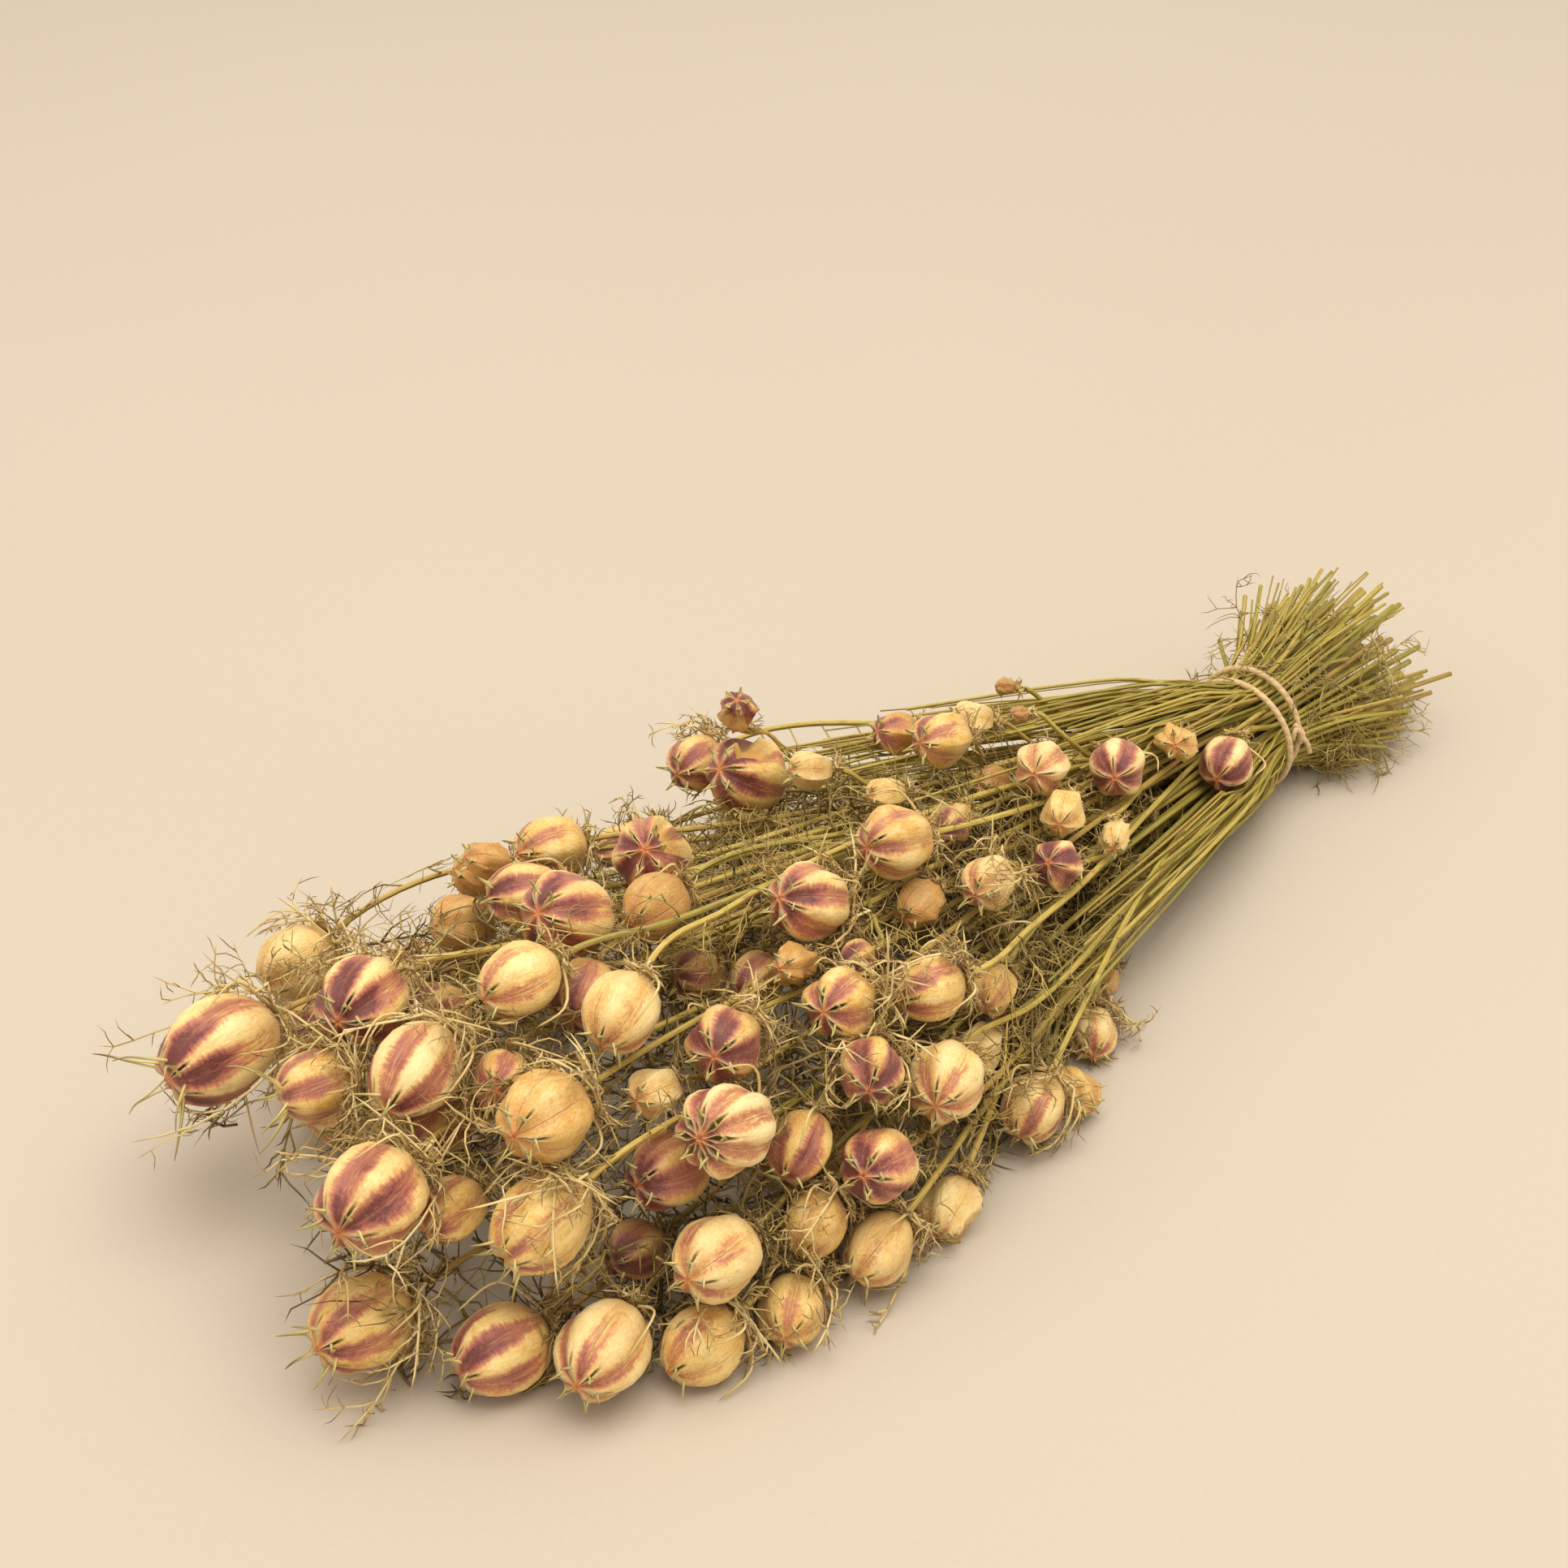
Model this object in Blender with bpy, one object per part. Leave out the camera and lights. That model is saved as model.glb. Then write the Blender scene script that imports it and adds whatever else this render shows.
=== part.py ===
"""A tied bunch of dried nigella stems with their seed pods, lying on its side. Metres, +Z up, heads toward -X."""
import math
import random

import bmesh
import bpy
import numpy as np

# Sizes in metres
PHOTO_SIDE = 1932.0
VIEW_AZIMUTH = math.radians(-47.0)
VIEW_ELEVATION = math.radians(35.0)
VIEW_ANGLE = math.radians(32.0)
VIEW_DISTANCE = 0.92
VIEW_TARGET = np.array([0.020, 0.0575, 0.030])

TIE_X = 0.1645
TIE_Y = -0.0300
TIE_Z = 0.0222
SLOT_RADIUS = 0.0140
STEM_RADIUS = 0.00105
BRANCH_RADIUS = 0.00085
CLEAR = 0.0005
GAP = 0.00035
NECK = 0.006
LOOSE_END = (0.056, 0.087)
LOOSE_SPREAD = 0.85
LOOSE_LIFT = 0.002
MAIN_STEMS = 52
HORN_RADIUS = 0.0006
HORN_INNER = 0.27
HORN_ROOT = (0.84, 0.42)
HORN_LEAN = (0.55, 1.0)
HORN_TRIES = 8
POD_FOOT = 0.96
SIGHT_NEAR = 0.62
SIGHT_STEP = 0.0012
SIGHT_STEPS = 420
LAYER_STEP = 0.017
SHOOTS_A_STEM = 2
SHOOT_REACH = (0.018, 0.095)
SHOOT_AHEAD = 0.010
TIE_RADIUS = 0.0011
TIE_GAP = 0.0096
TIE_LIFT = 0.0030
TIE_STEPS = 44
TIE_SIDES = 6
TIE_CROSSING = math.radians(100)
POD_GAP = 0.0012
POD_ROUNDS = 400
FLOOR_SINK = 0.0004
DETAIL_SEED = 5
SMALL_POD = 0.0100
FLOOR_REACH = 0.0012
FLOOR_DIP = 0.0006

# Bract threads of a pod on a stem of its own, by its kind
THREADS = {"n": 3, "s": 1, "w": 1, "t": 1}

# Length of the horns in radii of the pod, by its kind, and for single pods
HORN_REACH = {"n": (0.42, 0.62), "s": (0.30, 0.48), "w": (0.20, 0.34), "t": (0.30, 0.45)}
HORN_REACH_OF = {"a1": (0.80, 1.05), "a4": (0.60, 0.80), "a5": (0.85, 1.10), "c2": (0.62, 0.86), "c5": (0.55, 0.80),
                 "b13": (0.24, 0.30)}
NO_HORNS = ("g1", "g2", "g4", "g5", "g7", "g8", "g9")

# Rings of a pod, foot to crown: place along, width, depth of the grooves
RINGS = ((-0.80, 0.56, 0.04), (-0.30, 0.97, 0.05), (0.30, 0.96, 0.07), (0.78, 0.52, 0.16))
SMALL_RINGS = ((-0.62, 0.76, 0.04), (0.08, 1.0, 0.07), (0.74, 0.56, 0.16))

# Outline of the heap: x, near edge, far edge, height
HEAP = (
    (0.164, -0.0530, -0.0070, 0.046),
    (0.132, -0.0630, 0.0100, 0.056),
    (0.092, -0.0725, 0.0355, 0.068),
    (0.032, -0.0845, 0.0675, 0.082),
    (-0.028, -0.1065, 0.0855, 0.091),
    (-0.083, -0.1145, 0.0955, 0.096),
    (-0.138, -0.1095, 0.1015, 0.098),
    (-0.178, -0.0955, 0.1015, 0.096),
    (-0.208, -0.0705, 0.0955, 0.090),
    (-0.234, -0.0405, 0.0795, 0.076),
    (-0.254, -0.0085, 0.0455, 0.050),
)

# Pods by their places in the picture: name, middle, half width, horned end, lobes, kind, layer.
# Kinds: n net of bracts, s smooth, w withered, t torn. A horned end of None points away from the tie.
PODS = (
    ("a1", 270, 1294, 63, 211, 1330, 6, "n", 0),
    ("a2", 366, 1186, 46, 330, 1216, 5, "n", 1),
    ("a3", 450, 1240, 57, 421, 1265, 6, "n", 0),
    ("a4", 514, 1318, 58, 480, 1366, 6, "n", 0),
    ("a5", 390, 1336, 45, 322, 1360, 5, "n", 1),
    ("a6", 461, 1478, 66, 423, 1517, 6, "n", 0),
    ("a7", 553, 1490, 42, 522, 1516, 5, "s", 1),
    ("a8", 534, 1249, 40, None, None, 5, "s", 2),
    ("a9", 543, 1375, 45, None, None, 5, "s", 2.2),
    ("b1", 599, 1061, 30, None, None, 5, "w", 0),
    ("b2", 677, 1044, 42, 638, 1052, 5, "s", 1),
    ("b3", 647, 1103, 45, None, None, 6, "s", 1),
    ("b4", 698, 1127, 56, 660, 1125, 6, "s", 0),
    ("b5", 803, 1058, 50, 795, 1052, 6, "t", 0),
    ("b6", 806, 1112, 42, None, None, 5, "s", 1),
    ("b7", 639, 1208, 47, 596, 1232, 5, "s", 0),
    ("b8", 765, 1247, 49, 740, 1290, 6, "s", 0),
    ("b9", 719, 1226, 45, 704, 1259, 5, "s", 1),
    ("b10", 611, 1331, 39, 603, 1344, 5, "n", 1),
    ("b11", 671, 1376, 57, 636, 1400, 6, "n", 0),
    ("b12", 893, 1289, 49, 879, 1307, 5, "n", 0),
    ("b13", 893, 1389, 60, 860, 1400, 8, "s", 0),
    ("b14", 995, 1115, 50, 957, 1111, 6, "n", 0),
    ("b15", 980, 1186, 33, None, None, 5, "w", 1),
    ("b16", 1037, 1240, 46, 1014, 1252, 5, "n", 0),
    ("b17", 806, 1346, 35, None, None, 5, "s", 1),
    ("b18", 825, 1442, 50, 786, 1460, 5, "s", 1),
    ("b19", 987, 1415, 42, 966, 1460, 5, "s", 1),
    ("b20", 590, 1079, 36, None, None, 5, "w", 1),
    ("b21", 569, 1136, 38, None, None, 5, "s", 2.2),
    ("c2", 445, 1630, 60, 397, 1660, 6, "n", 0),
    ("c3", 622, 1663, 57, 571, 1694, 6, "s", 0),
    ("c4", 742, 1663, 57, 712, 1705, 6, "s", 0),
    ("c5", 667, 1507, 58, 619, 1552, 6, "n", 0),
    ("d2", 1071, 1316, 42, 1069, 1341, 5, "n", 0),
    ("d3", 1166, 1334, 50, 1152, 1365, 6, "s", 0),
    ("d4", 1083, 1436, 48, 1063, 1449, 5, "s", 0),
    ("d6", 882, 1550, 54, 847, 1577, 5, "s", 0),
    ("d7", 1008, 1508, 40, 984, 1556, 5, "n", 1),
    ("d8", 1077, 1535, 43, 1038, 1583, 5, "n", 0),
    ("d9", 1170, 1484, 42, 1149, 1529, 5, "w", 0),
    ("d10", 861, 1655, 50, 820, 1690, 5, "n", 0),
    ("d11", 975, 1613, 43, 967, 1646, 5, "n", 0),
    ("d12", 1020, 1421, 30, None, None, 5, "s", 2),
    ("d13", 780, 1540, 40, None, None, 5, "s", 2),
    ("e1", 1144, 1218, 43, 1104, 1233, 5, "n", 0),
    ("e2", 1207, 1289, 32, None, None, 5, "s", 1.5),
    ("e4", 1273, 1365, 40, 1253, 1406, 5, "n", 0),
    ("e5", 1324, 1345, 34, 1350, 1373, 5, "w", 0),
    ("e6", 1347, 1273, 31, 1347, 1301, 5, "n", 0),
    ("e7", 1363, 1207, 20, None, None, 5, "w", 0),
    ("e8", 1225, 1222, 30, None, None, 5, "s", 1),
    ("e9", 1131, 1110, 35, None, None, 5, "w", 1),
    ("f1", 911, 883, 28, 908, 868, 5, "w", 0),
    ("f2", 858, 940, 37, 833, 955, 5, "n", 1),
    ("f3", 920, 949, 50, 882, 941, 6, "t", 0),
    ("f4", 998, 949, 26, None, None, 5, "s", 1),
    ("f5", 1103, 904, 28, None, None, 5, "s", 1),
    ("f6", 1160, 910, 36, 1130, 916, 5, "s", 0),
    ("f7", 1103, 1042, 47, 1064, 1051, 6, "s", 0),
    ("f8", 1172, 1018, 33, None, None, 5, "w", 1),
    ("f9", 1218, 1087, 34, 1201, 1104, 5, "n", 0),
    ("f10", 1222, 966, 25, None, None, 5, "s", 2),
    ("f11", 1091, 979, 25, None, None, 5, "s", 2),
    ("f12", 1055, 1180, 24, None, None, 5, "s", 1),
    ("f13", 1198, 886, 25, None, None, 5, "s", 1),
    ("g1", 1283, 946, 36, 1274, 955, 5, "s", 0),
    ("g2", 1376, 945, 37, 1373, 960, 5, "s", 0),
    ("g3", 1449, 915, 31, 1448, 918, 5, "w", 0),
    ("g4", 1511, 940, 34, 1497, 963, 5, "s", 0),
    ("g5", 1310, 1000, 30, 1304, 1017, 5, "s", 0),
    ("g6", 1373, 1032, 24, None, None, 5, "w", 0),
    ("g7", 1302, 1065, 34, 1290, 1063, 5, "s", 0),
    ("g8", 1239, 846, 14, None, None, 5, "w", 0),
    ("g9", 1256, 879, 13, None, None, 5, "w", 0),
    ("h1", 860, 1200, 35, None, None, 5, "s", 3.2),
    ("h2", 930, 1205, 35, None, None, 5, "s", 2.2),
)

# Pods on the side that the picture hides: name, place, half width, lobes, kind
HIDDEN_PODS = (
    ("k1", -0.172, 0.0590, 0.0111, 0.0115, 5, "s"),
    ("k2", -0.158, 0.0915, 0.0116, 0.0120, 6, "n"),
    ("k3", -0.106, 0.0835, 0.0106, 0.0110, 5, "s"),
    ("k4", -0.126, 0.0710, 0.0270, 0.0115, 5, "n"),
    ("k5", -0.060, 0.0955, 0.0106, 0.0110, 5, "n"),
    ("k6", -0.082, 0.0810, 0.030, 0.0110, 6, "s"),
    ("k7", -0.016, 0.0830, 0.0096, 0.0100, 5, "s"),
    ("k8", -0.036, 0.0770, 0.026, 0.0105, 5, "w"),
    ("k9", 0.024, 0.0775, 0.0091, 0.0095, 5, "n"),
    ("k10", 0.062, 0.0535, 0.0076, 0.0080, 5, "s"),
    ("k11", -0.172, 0.0330, 0.0116, 0.0120, 5, "n"),
    ("k12", -0.150, 0.0610, 0.040, 0.0115, 5, "s"),
)


# Pods that lie on the floor, and pods whose middle has a height of its own
ON_FLOOR = ("c3", "c4", "d10", "d11", "d9", "e4", "e5", "e6", "e7")
HEIGHTS = {"a1": 0.052, "a4": 0.072, "c2": 0.020}


def view():
    """Eye, look, right and up of the view that the places were read in, and its focal length in picture units"""
    look = np.array([-math.sin(VIEW_AZIMUTH) * math.cos(VIEW_ELEVATION),
                     math.cos(VIEW_AZIMUTH) * math.cos(VIEW_ELEVATION), -math.sin(VIEW_ELEVATION)])
    right = np.array([math.cos(VIEW_AZIMUTH), math.sin(VIEW_AZIMUTH), 0.0])
    up = np.cross(right, look)
    focal = PHOTO_SIDE / 2 / math.tan(VIEW_ANGLE / 2)
    return VIEW_TARGET - VIEW_DISTANCE * look, look, right, up, focal


def unit(v):
    return v / np.linalg.norm(v)


def heap_at(x):
    """Near edge, far edge and height of the heap at x"""
    table = np.array(HEAP)[::-1]
    return [float(np.interp(x, table[:, 0], table[:, i])) for i in (1, 2, 3)]


def heap_depth(p, r):
    """Below 0 where a ball of radius r fits wholly inside the heap"""
    x0, x1 = HEAP[-1][0] + r, HEAP[0][0]
    near, far, h = heap_at(min(max(p[0], x0), x1))
    y, w = (near + far) / 2, max((far - near) / 2 - r, 0.002)
    h = max(h - 2 * r, 0.004)
    ends = max(x0 - p[0], p[0] - x1, 0.0)
    return ((p[1] - y) / w) ** 2 + (max(p[2] - r, 0) / h) ** 2 + (ends / 0.01) ** 2 - 1


def place_pods():
    """Every pod with its middle, radius, half length and axis, moved apart along the lines of sight"""
    eye, look, right, up, focal = view()
    tie = np.array([TIE_X, TIE_Y, TIE_Z])
    rng = random.Random(31)
    pods = []
    for name, px, py, half, hx, hy, lobes, kind, layer in PODS:
        ray = look * focal + right * (px - PHOTO_SIDE / 2) + up * (PHOTO_SIDE / 2 - py)
        ray = ray / np.linalg.norm(ray)
        best, best_t, r = None, None, 0.012
        if name in ON_FLOOR:
            for _ in range(4):
                t = (r - 0.0004 - eye[2]) / ray[2]
                r = half / focal * t
        elif name in HEIGHTS:
            t = (HEIGHTS[name] - eye[2]) / ray[2]
        else:
            for k in range(SIGHT_STEPS):
                t = SIGHT_NEAR + SIGHT_STEP * k
                p = eye + t * ray
                r = half / focal * t
                if p[2] < r:
                    break
                f = heap_depth(p, r)
                if best is None or f < best:
                    best, best_t = f, t
                if f < 0:
                    break
            t = best_t + LAYER_STEP * layer
        r = half / focal * t
        stretch = 1.10 + 0.10 * rng.random()
        if kind == "w":
            stretch = 1.0
        if name == "a1":
            stretch = 1.27
        if hx is None:
            axis = None
        else:
            dx, dy = (hx - px) / (half * stretch), (hy - py) / (half * stretch)
            flat = min(math.hypot(dx, dy), 0.93)
            k = flat / max(math.hypot(dx, dy), 1e-6)
            toward = math.sqrt(1 - flat * flat)
            axis = unit(right * dx * k - up * dy * k - ray * toward)
        pods.append({"name": name, "ray": ray, "t": t, "r": r, "long": r * stretch, "lobes": lobes,
                     "kind": kind, "axis": axis, "hidden": False})
    for name, x, y, z, r, lobes, kind in HIDDEN_PODS:
        p = np.array([x, y, z])
        ray = unit(p - eye)
        pods.append({"name": name, "ray": ray, "t": float(np.linalg.norm(p - eye)), "r": r, "long": r * 1.12,
                     "lobes": lobes, "kind": kind, "axis": None, "hidden": True})
    for pod in pods:
        pod["roll"] = rng.uniform(0, 6.28)
        pod["middle"] = eye + pod["t"] * pod["ray"]
        if pod["axis"] is None:
            away = unit(pod["middle"] - tie)
            pod["axis"] = unit(away + np.array([rng.uniform(-.3, .3) for _ in range(3)]))
    return pods, eye


def settle_pods(pods, eye):
    """Part the pods that touch: along the lines of sight, the nearer one forward and the further one back"""
    count = len(pods)
    rays = np.array([p["ray"] for p in pods])
    away = np.array([p["t"] for p in pods])
    radius = np.array([p["r"] for p in pods])
    half = np.array([p["long"] - p["r"] for p in pods])
    axis = np.array([p["axis"] for p in pods])
    hidden = [p["hidden"] for p in pods]
    start = away.copy()
    aside = np.zeros((count, 3))
    one, two = np.triu_indices(count, 1)
    for _ in range(POD_ROUNDS):
        middle = eye + rays * away[:, None] + aside
        foot, tip = middle - axis * half[:, None], middle + axis * half[:, None]
        _, _, p, q = pair_params(foot[one], tip[one], foot[two], tip[two])
        gap = p - q
        dist = np.linalg.norm(gap, axis=1)
        short = radius[one] + radius[two] + POD_GAP - dist
        if short.max() < 0.00015:
            break
        move = np.zeros(count)
        for k in np.nonzero(short > 0)[0]:
            i, j = one[k], two[k]
            push = gap[k] / max(dist[k], 1e-6)
            sign = 1 if away[i] > away[j] else -1
            move[i] += sign * short[k] * 0.35
            move[j] -= sign * short[k] * 0.35
            if hidden[i] or hidden[j] or abs(push @ rays[i]) < 0.55:
                aside[i] += push * short[k] * 0.12
                aside[j] -= push * short[k] * 0.12
        away = away + np.clip(move, -0.003, 0.003) + (start - away) * 0.004
        under = eye[2] + rays[:, 2] * away + aside[:, 2] - (radius - FLOOR_SINK)
        away = np.where(under < 0, away - under / rays[:, 2], away)
    for pod, place in zip(pods, eye + rays * away[:, None] + aside):
        pod["middle"] = place


def slot_places(n):
    """Where the n stems pass the tie, as y and z from its middle, spread evenly over a disc"""
    places = []
    for i in range(n):
        turn = i * 2.399963
        far = SLOT_RADIUS * math.sqrt((i + 0.5) / n)
        places.append((far * math.cos(turn), far * math.sin(turn)))
    return np.array(places)


def share_slots(mains):
    """Give each stem the slot that lies on its pod's side of the bunch"""
    n = len(mains)
    wish = []
    for pod in mains:
        near, far, h = heap_at(pod["middle"][0])
        u = (pod["middle"][1] - (near + far) / 2) / ((far - near) / 2)
        v = (pod["middle"][2] - h * 0.45) / (h * 0.5)
        along = min((TIE_X - pod["middle"][0]) / 0.40, 1.0)
        size = max(math.hypot(u, v), 1e-6)
        reach = min(size, 1.0) * (1.05 - 0.45 * along) * SLOT_RADIUS
        wish.append((u / size * reach, v / size * reach))
    wish = np.array(wish)
    slots = slot_places(n)
    cost = ((wish[:, None, :] - slots[None, :, :]) ** 2).sum(axis=2)
    taken = list(range(n))
    for _ in range(12):
        changed = False
        for i in range(n):
            for j in range(i + 1, n):
                a, b = taken[i], taken[j]
                if cost[i, b] + cost[j, a] < cost[i, a] + cost[j, b] - 1e-12:
                    taken[i], taken[j] = b, a
                    changed = True
        if not changed:
            break
    return [slots[k] for k in taken]


def bezier(p0, p1, p2, p3, n):
    t = np.linspace(0, 1, n + 1)[:, None]
    return (1 - t) ** 3 * p0 + 3 * t * (1 - t) ** 2 * p1 + 3 * t * t * (1 - t) * p2 + t ** 3 * p3


def first_route(slot, base, axis):
    start = np.array([TIE_X, TIE_Y + slot[0], TIE_Z + slot[1]])
    gap = base - start
    size = np.linalg.norm(gap)
    out = unit(np.array([-1.0, 0.6 * gap[1] / abs(gap[0]), 0.6 * gap[2] / abs(gap[0])]))
    n = int(min(max(round(size / 0.036), 3), 10))
    return bezier(start, start + out * size * 0.33, base - axis * min(0.22 * size, 0.035), base, n)


def relax(routes, radii, fixed_ends, pins, blocks, block_radii, own_block, rounds=900):
    """Bend the routes clear of each other and of the blocks, which stay where they are"""
    pts = np.concatenate(routes)
    counts = [len(r) for r in routes]
    starts = np.cumsum([0] + counts[:-1])
    owner_pt = np.repeat(np.arange(len(routes)), counts)
    seg_a = np.concatenate([np.arange(s, s + c - 1) for s, c in zip(starts, counts)])
    seg_b = seg_a + 1
    owner = owner_pt[seg_a]
    thick = np.array(radii)[owner]
    free = np.ones(len(pts), bool)
    for s, c, (first, last), held in zip(starts, counts, fixed_ends, pins):
        free[s:s + first] = False
        free[s + c - last:s + c] = False
        for k in held:
            free[s + k] = False
    inner = np.array([i for s, c in zip(starts, counts) for i in range(s + 1, s + c - 1)], dtype=int)
    block_mid = blocks.mean(axis=1)
    block_half = np.linalg.norm(blocks[:, 1] - blocks[:, 0], axis=1) / 2
    low = np.array(radii)[owner_pt] + 0.0003
    for step in range(rounds):
        if step % 12 == 0:
            mid = (pts[seg_a] + pts[seg_b]) / 2
            half = np.linalg.norm(pts[seg_b] - pts[seg_a], axis=1) / 2
            far = np.linalg.norm(mid[:, None, :] - mid[None, :, :], axis=2)
            near = far < half[:, None] + half[None, :] + thick[:, None] + thick[None, :] + 0.006
            ii, jj = np.nonzero(np.triu(near, 1))
            apart = owner[ii] != owner[jj]
            ii, jj = ii[apart], jj[apart]
            far = np.linalg.norm(mid[:, None, :] - block_mid[None, :, :], axis=2)
            near = far < half[:, None] + block_half[None, :] + thick[:, None] + block_radii[None, :] + 0.006
            si, bi = np.nonzero(near)
            apart = own_block[owner[si], bi] == 0
            si, bi = si[apart], bi[apart]
        move = np.zeros_like(pts)
        s, t, p, q = pair_params(pts[seg_a[ii]], pts[seg_b[ii]], pts[seg_a[jj]], pts[seg_b[jj]])
        worst = shove(move, p - q, thick[ii] + thick[jj] + CLEAR, 0.45, (seg_a[ii], seg_b[ii], s, 1.0),
                      (seg_a[jj], seg_b[jj], t, -1.0))
        s, t, p, q = pair_params(pts[seg_a[si]], pts[seg_b[si]], blocks[bi, 0], blocks[bi, 1])
        worst = max(worst, shove(move, p - q, thick[si] + block_radii[bi] + CLEAR, 0.8,
                                 (seg_a[si], seg_b[si], s, 1.0)))
        ease = 0.04 if step < rounds * 0.7 else 0.004 if step < rounds * 0.9 else 0.0
        move[inner] += ((pts[inner - 1] + pts[inner + 1]) / 2 - pts[inner]) * ease
        move[~free] = 0
        size = np.linalg.norm(move, axis=1, keepdims=True)
        pts += move * np.minimum(1, 0.004 / np.maximum(size, 1e-9))
        lift = free & (pts[:, 2] < low)
        pts[lift, 2] = low[lift]
        if worst < 0.00002 and step > rounds * 0.7:
            break
    return [pts[s:s + c] for s, c in zip(starts, counts)]


def shove(move, gap, wanted, strength, *bars):
    """Add to the moves of the bars' end points what parts the pairs that are closer than wanted"""
    dist = np.linalg.norm(gap, axis=1)
    short = wanted - dist
    hit = short > 0
    if not hit.any():
        return 0.0
    force = gap[hit] / np.maximum(dist[hit], 1e-6)[:, None] * short[hit][:, None] * strength
    for first, second, place, sign in bars:
        one, two = 1 - place[hit], place[hit]
        share = np.maximum(one * one + two * two, 0.5)
        np.add.at(move, first[hit], sign * force * (one / share)[:, None])
        np.add.at(move, second[hit], sign * force * (two / share)[:, None])
    return float(short.max())


def pair_params(a, b, c, d):
    """Closest points of pairs of bars a-b and c-d, with their places along each bar"""
    u, v, w = b - a, d - c, a - c
    uu = np.einsum("ij,ij->i", u, u)
    vv = np.einsum("ij,ij->i", v, v)
    uv = np.einsum("ij,ij->i", u, v)
    uw = np.einsum("ij,ij->i", u, w)
    vw = np.einsum("ij,ij->i", v, w)
    det = uu * vv - uv * uv
    s = np.where(det > 1e-16, (uv * vw - vv * uw) / np.maximum(det, 1e-16), 0.5)
    s = np.clip(s, 0, 1)
    t = np.clip((uv * s + vw) / np.maximum(vv, 1e-14), 0, 1)
    s = np.clip((uv * t - uw) / np.maximum(uu, 1e-14), 0, 1)
    return s, t, a + u * s[:, None], c + v * t[:, None]


def neck_route(pod, slot, rng):
    """Way of a stem: cut end, middle of the loose end, tie, then on to the foot of its pod"""
    base = pod["middle"] - pod["axis"] * pod["long"] * POD_FOOT
    neck = base - pod["axis"] * NECK
    front = first_route(slot, neck, pod["axis"])
    tie = front[0]
    length = rng.uniform(*LOOSE_END)
    away = np.array([length, slot[0] * LOOSE_SPREAD + rng.uniform(-1, 1) * 0.003,
                     slot[1] * LOOSE_SPREAD + LOOSE_LIFT + rng.uniform(-1, 1) * 0.003])
    end = tie + away
    end[2] = max(end[2], 0.0035)
    half = tie + away * np.array([0.5, 0.42, 0.42])
    return np.vstack([end, half, front, base])


def lay_stems(pods):
    """Routes of the main stems and of the side shoots, each bent clear of all the others"""
    rng = random.Random(47)
    order = sorted(pods, key=lambda p: -p["r"])
    mains, sides = order[:MAIN_STEMS], order[MAIN_STEMS:]
    ends = [(p["middle"] - p["axis"] * (p["long"] - p["r"]), p["middle"] + p["axis"] * (p["long"] - p["r"]))
            for p in pods]
    blocks = np.array([[a, b] for a, b in ends])
    radii = np.array([p["r"] for p in pods])
    index = {p["name"]: k for k, p in enumerate(pods)}
    routes = [neck_route(p, slot, rng) for p, slot in zip(mains, share_slots(mains))]
    own = np.zeros((len(mains), len(pods)))
    for i, p in enumerate(mains):
        own[i, index[p["name"]]] = 1
    fixed = [(0, 2)] * len(mains)
    pins = [[2]] * len(mains)
    routes = relax(routes, [STEM_RADIUS] * len(mains), fixed, pins, blocks, radii, own)
    stems = [{"pod": p, "route": r, "shoots": []} for p, r in zip(mains, routes)]
    add_shoots(stems, sides, pods, blocks, radii, index)
    return stems


def add_shoots(stems, sides, pods, blocks, radii, index):
    """Give each smaller pod a side shoot from the nearest stem that comes past it"""
    shoots = []
    for pod in sides:
        base = pod["middle"] - pod["axis"] * pod["long"] * POD_FOOT
        neck = base - pod["axis"] * NECK * 0.7
        best = None
        for k, stem in enumerate(stems):
            if len(stem["shoots"]) >= SHOOTS_A_STEM:
                continue
            way = stem["route"]
            for i in range(2, len(way) - 2):
                for part in (0.25, 0.75):
                    root = way[i] * (1 - part) + way[i + 1] * part
                    run = neck - root
                    far = np.linalg.norm(run)
                    if not SHOOT_REACH[0] < far < SHOOT_REACH[1] or root[0] - neck[0] < SHOOT_AHEAD:
                        continue
                    along = unit(way[i + 1] - way[i])
                    turn = math.acos(max(-1, min(1, float(along @ run) / far)))
                    cost = far * (1 + 1.2 * turn)
                    if best is None or cost < best[0]:
                        best = (cost, k, i, part, root, along, far)
        if best is None:
            raise RuntimeError("no stem for " + pod["name"])
        _, k, i, part, root, along, far = best
        way = bezier(root, root + along * far * 0.3, neck - pod["axis"] * far * 0.2, neck, 3)
        shoot = {"pod": pod, "stem": k, "route": np.vstack([way, base])}
        stems[k]["shoots"].append(shoot)
        shoots.append(shoot)
    lines, line_radii, line_stem = [], [], []
    for k, stem in enumerate(stems):
        for a, b in zip(stem["route"][:-1], stem["route"][1:]):
            lines.append((a, b))
            line_radii.append(STEM_RADIUS)
            line_stem.append(k)
    walls = np.concatenate([blocks, np.array(lines)])
    wall_radii = np.concatenate([radii, line_radii])
    own = np.zeros((len(shoots), len(walls)))
    for n, shoot in enumerate(shoots):
        own[n, index[shoot["pod"]["name"]]] = 1
        for m, k in enumerate(line_stem):
            if k == shoot["stem"]:
                own[n, len(blocks) + m] = 1
    routes = relax([s["route"] for s in shoots], [BRANCH_RADIUS] * len(shoots), [(1, 2)] * len(shoots),
                   [[]] * len(shoots), walls, wall_radii, own)
    for shoot, way in zip(shoots, routes):
        shoot["route"] = way


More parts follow.
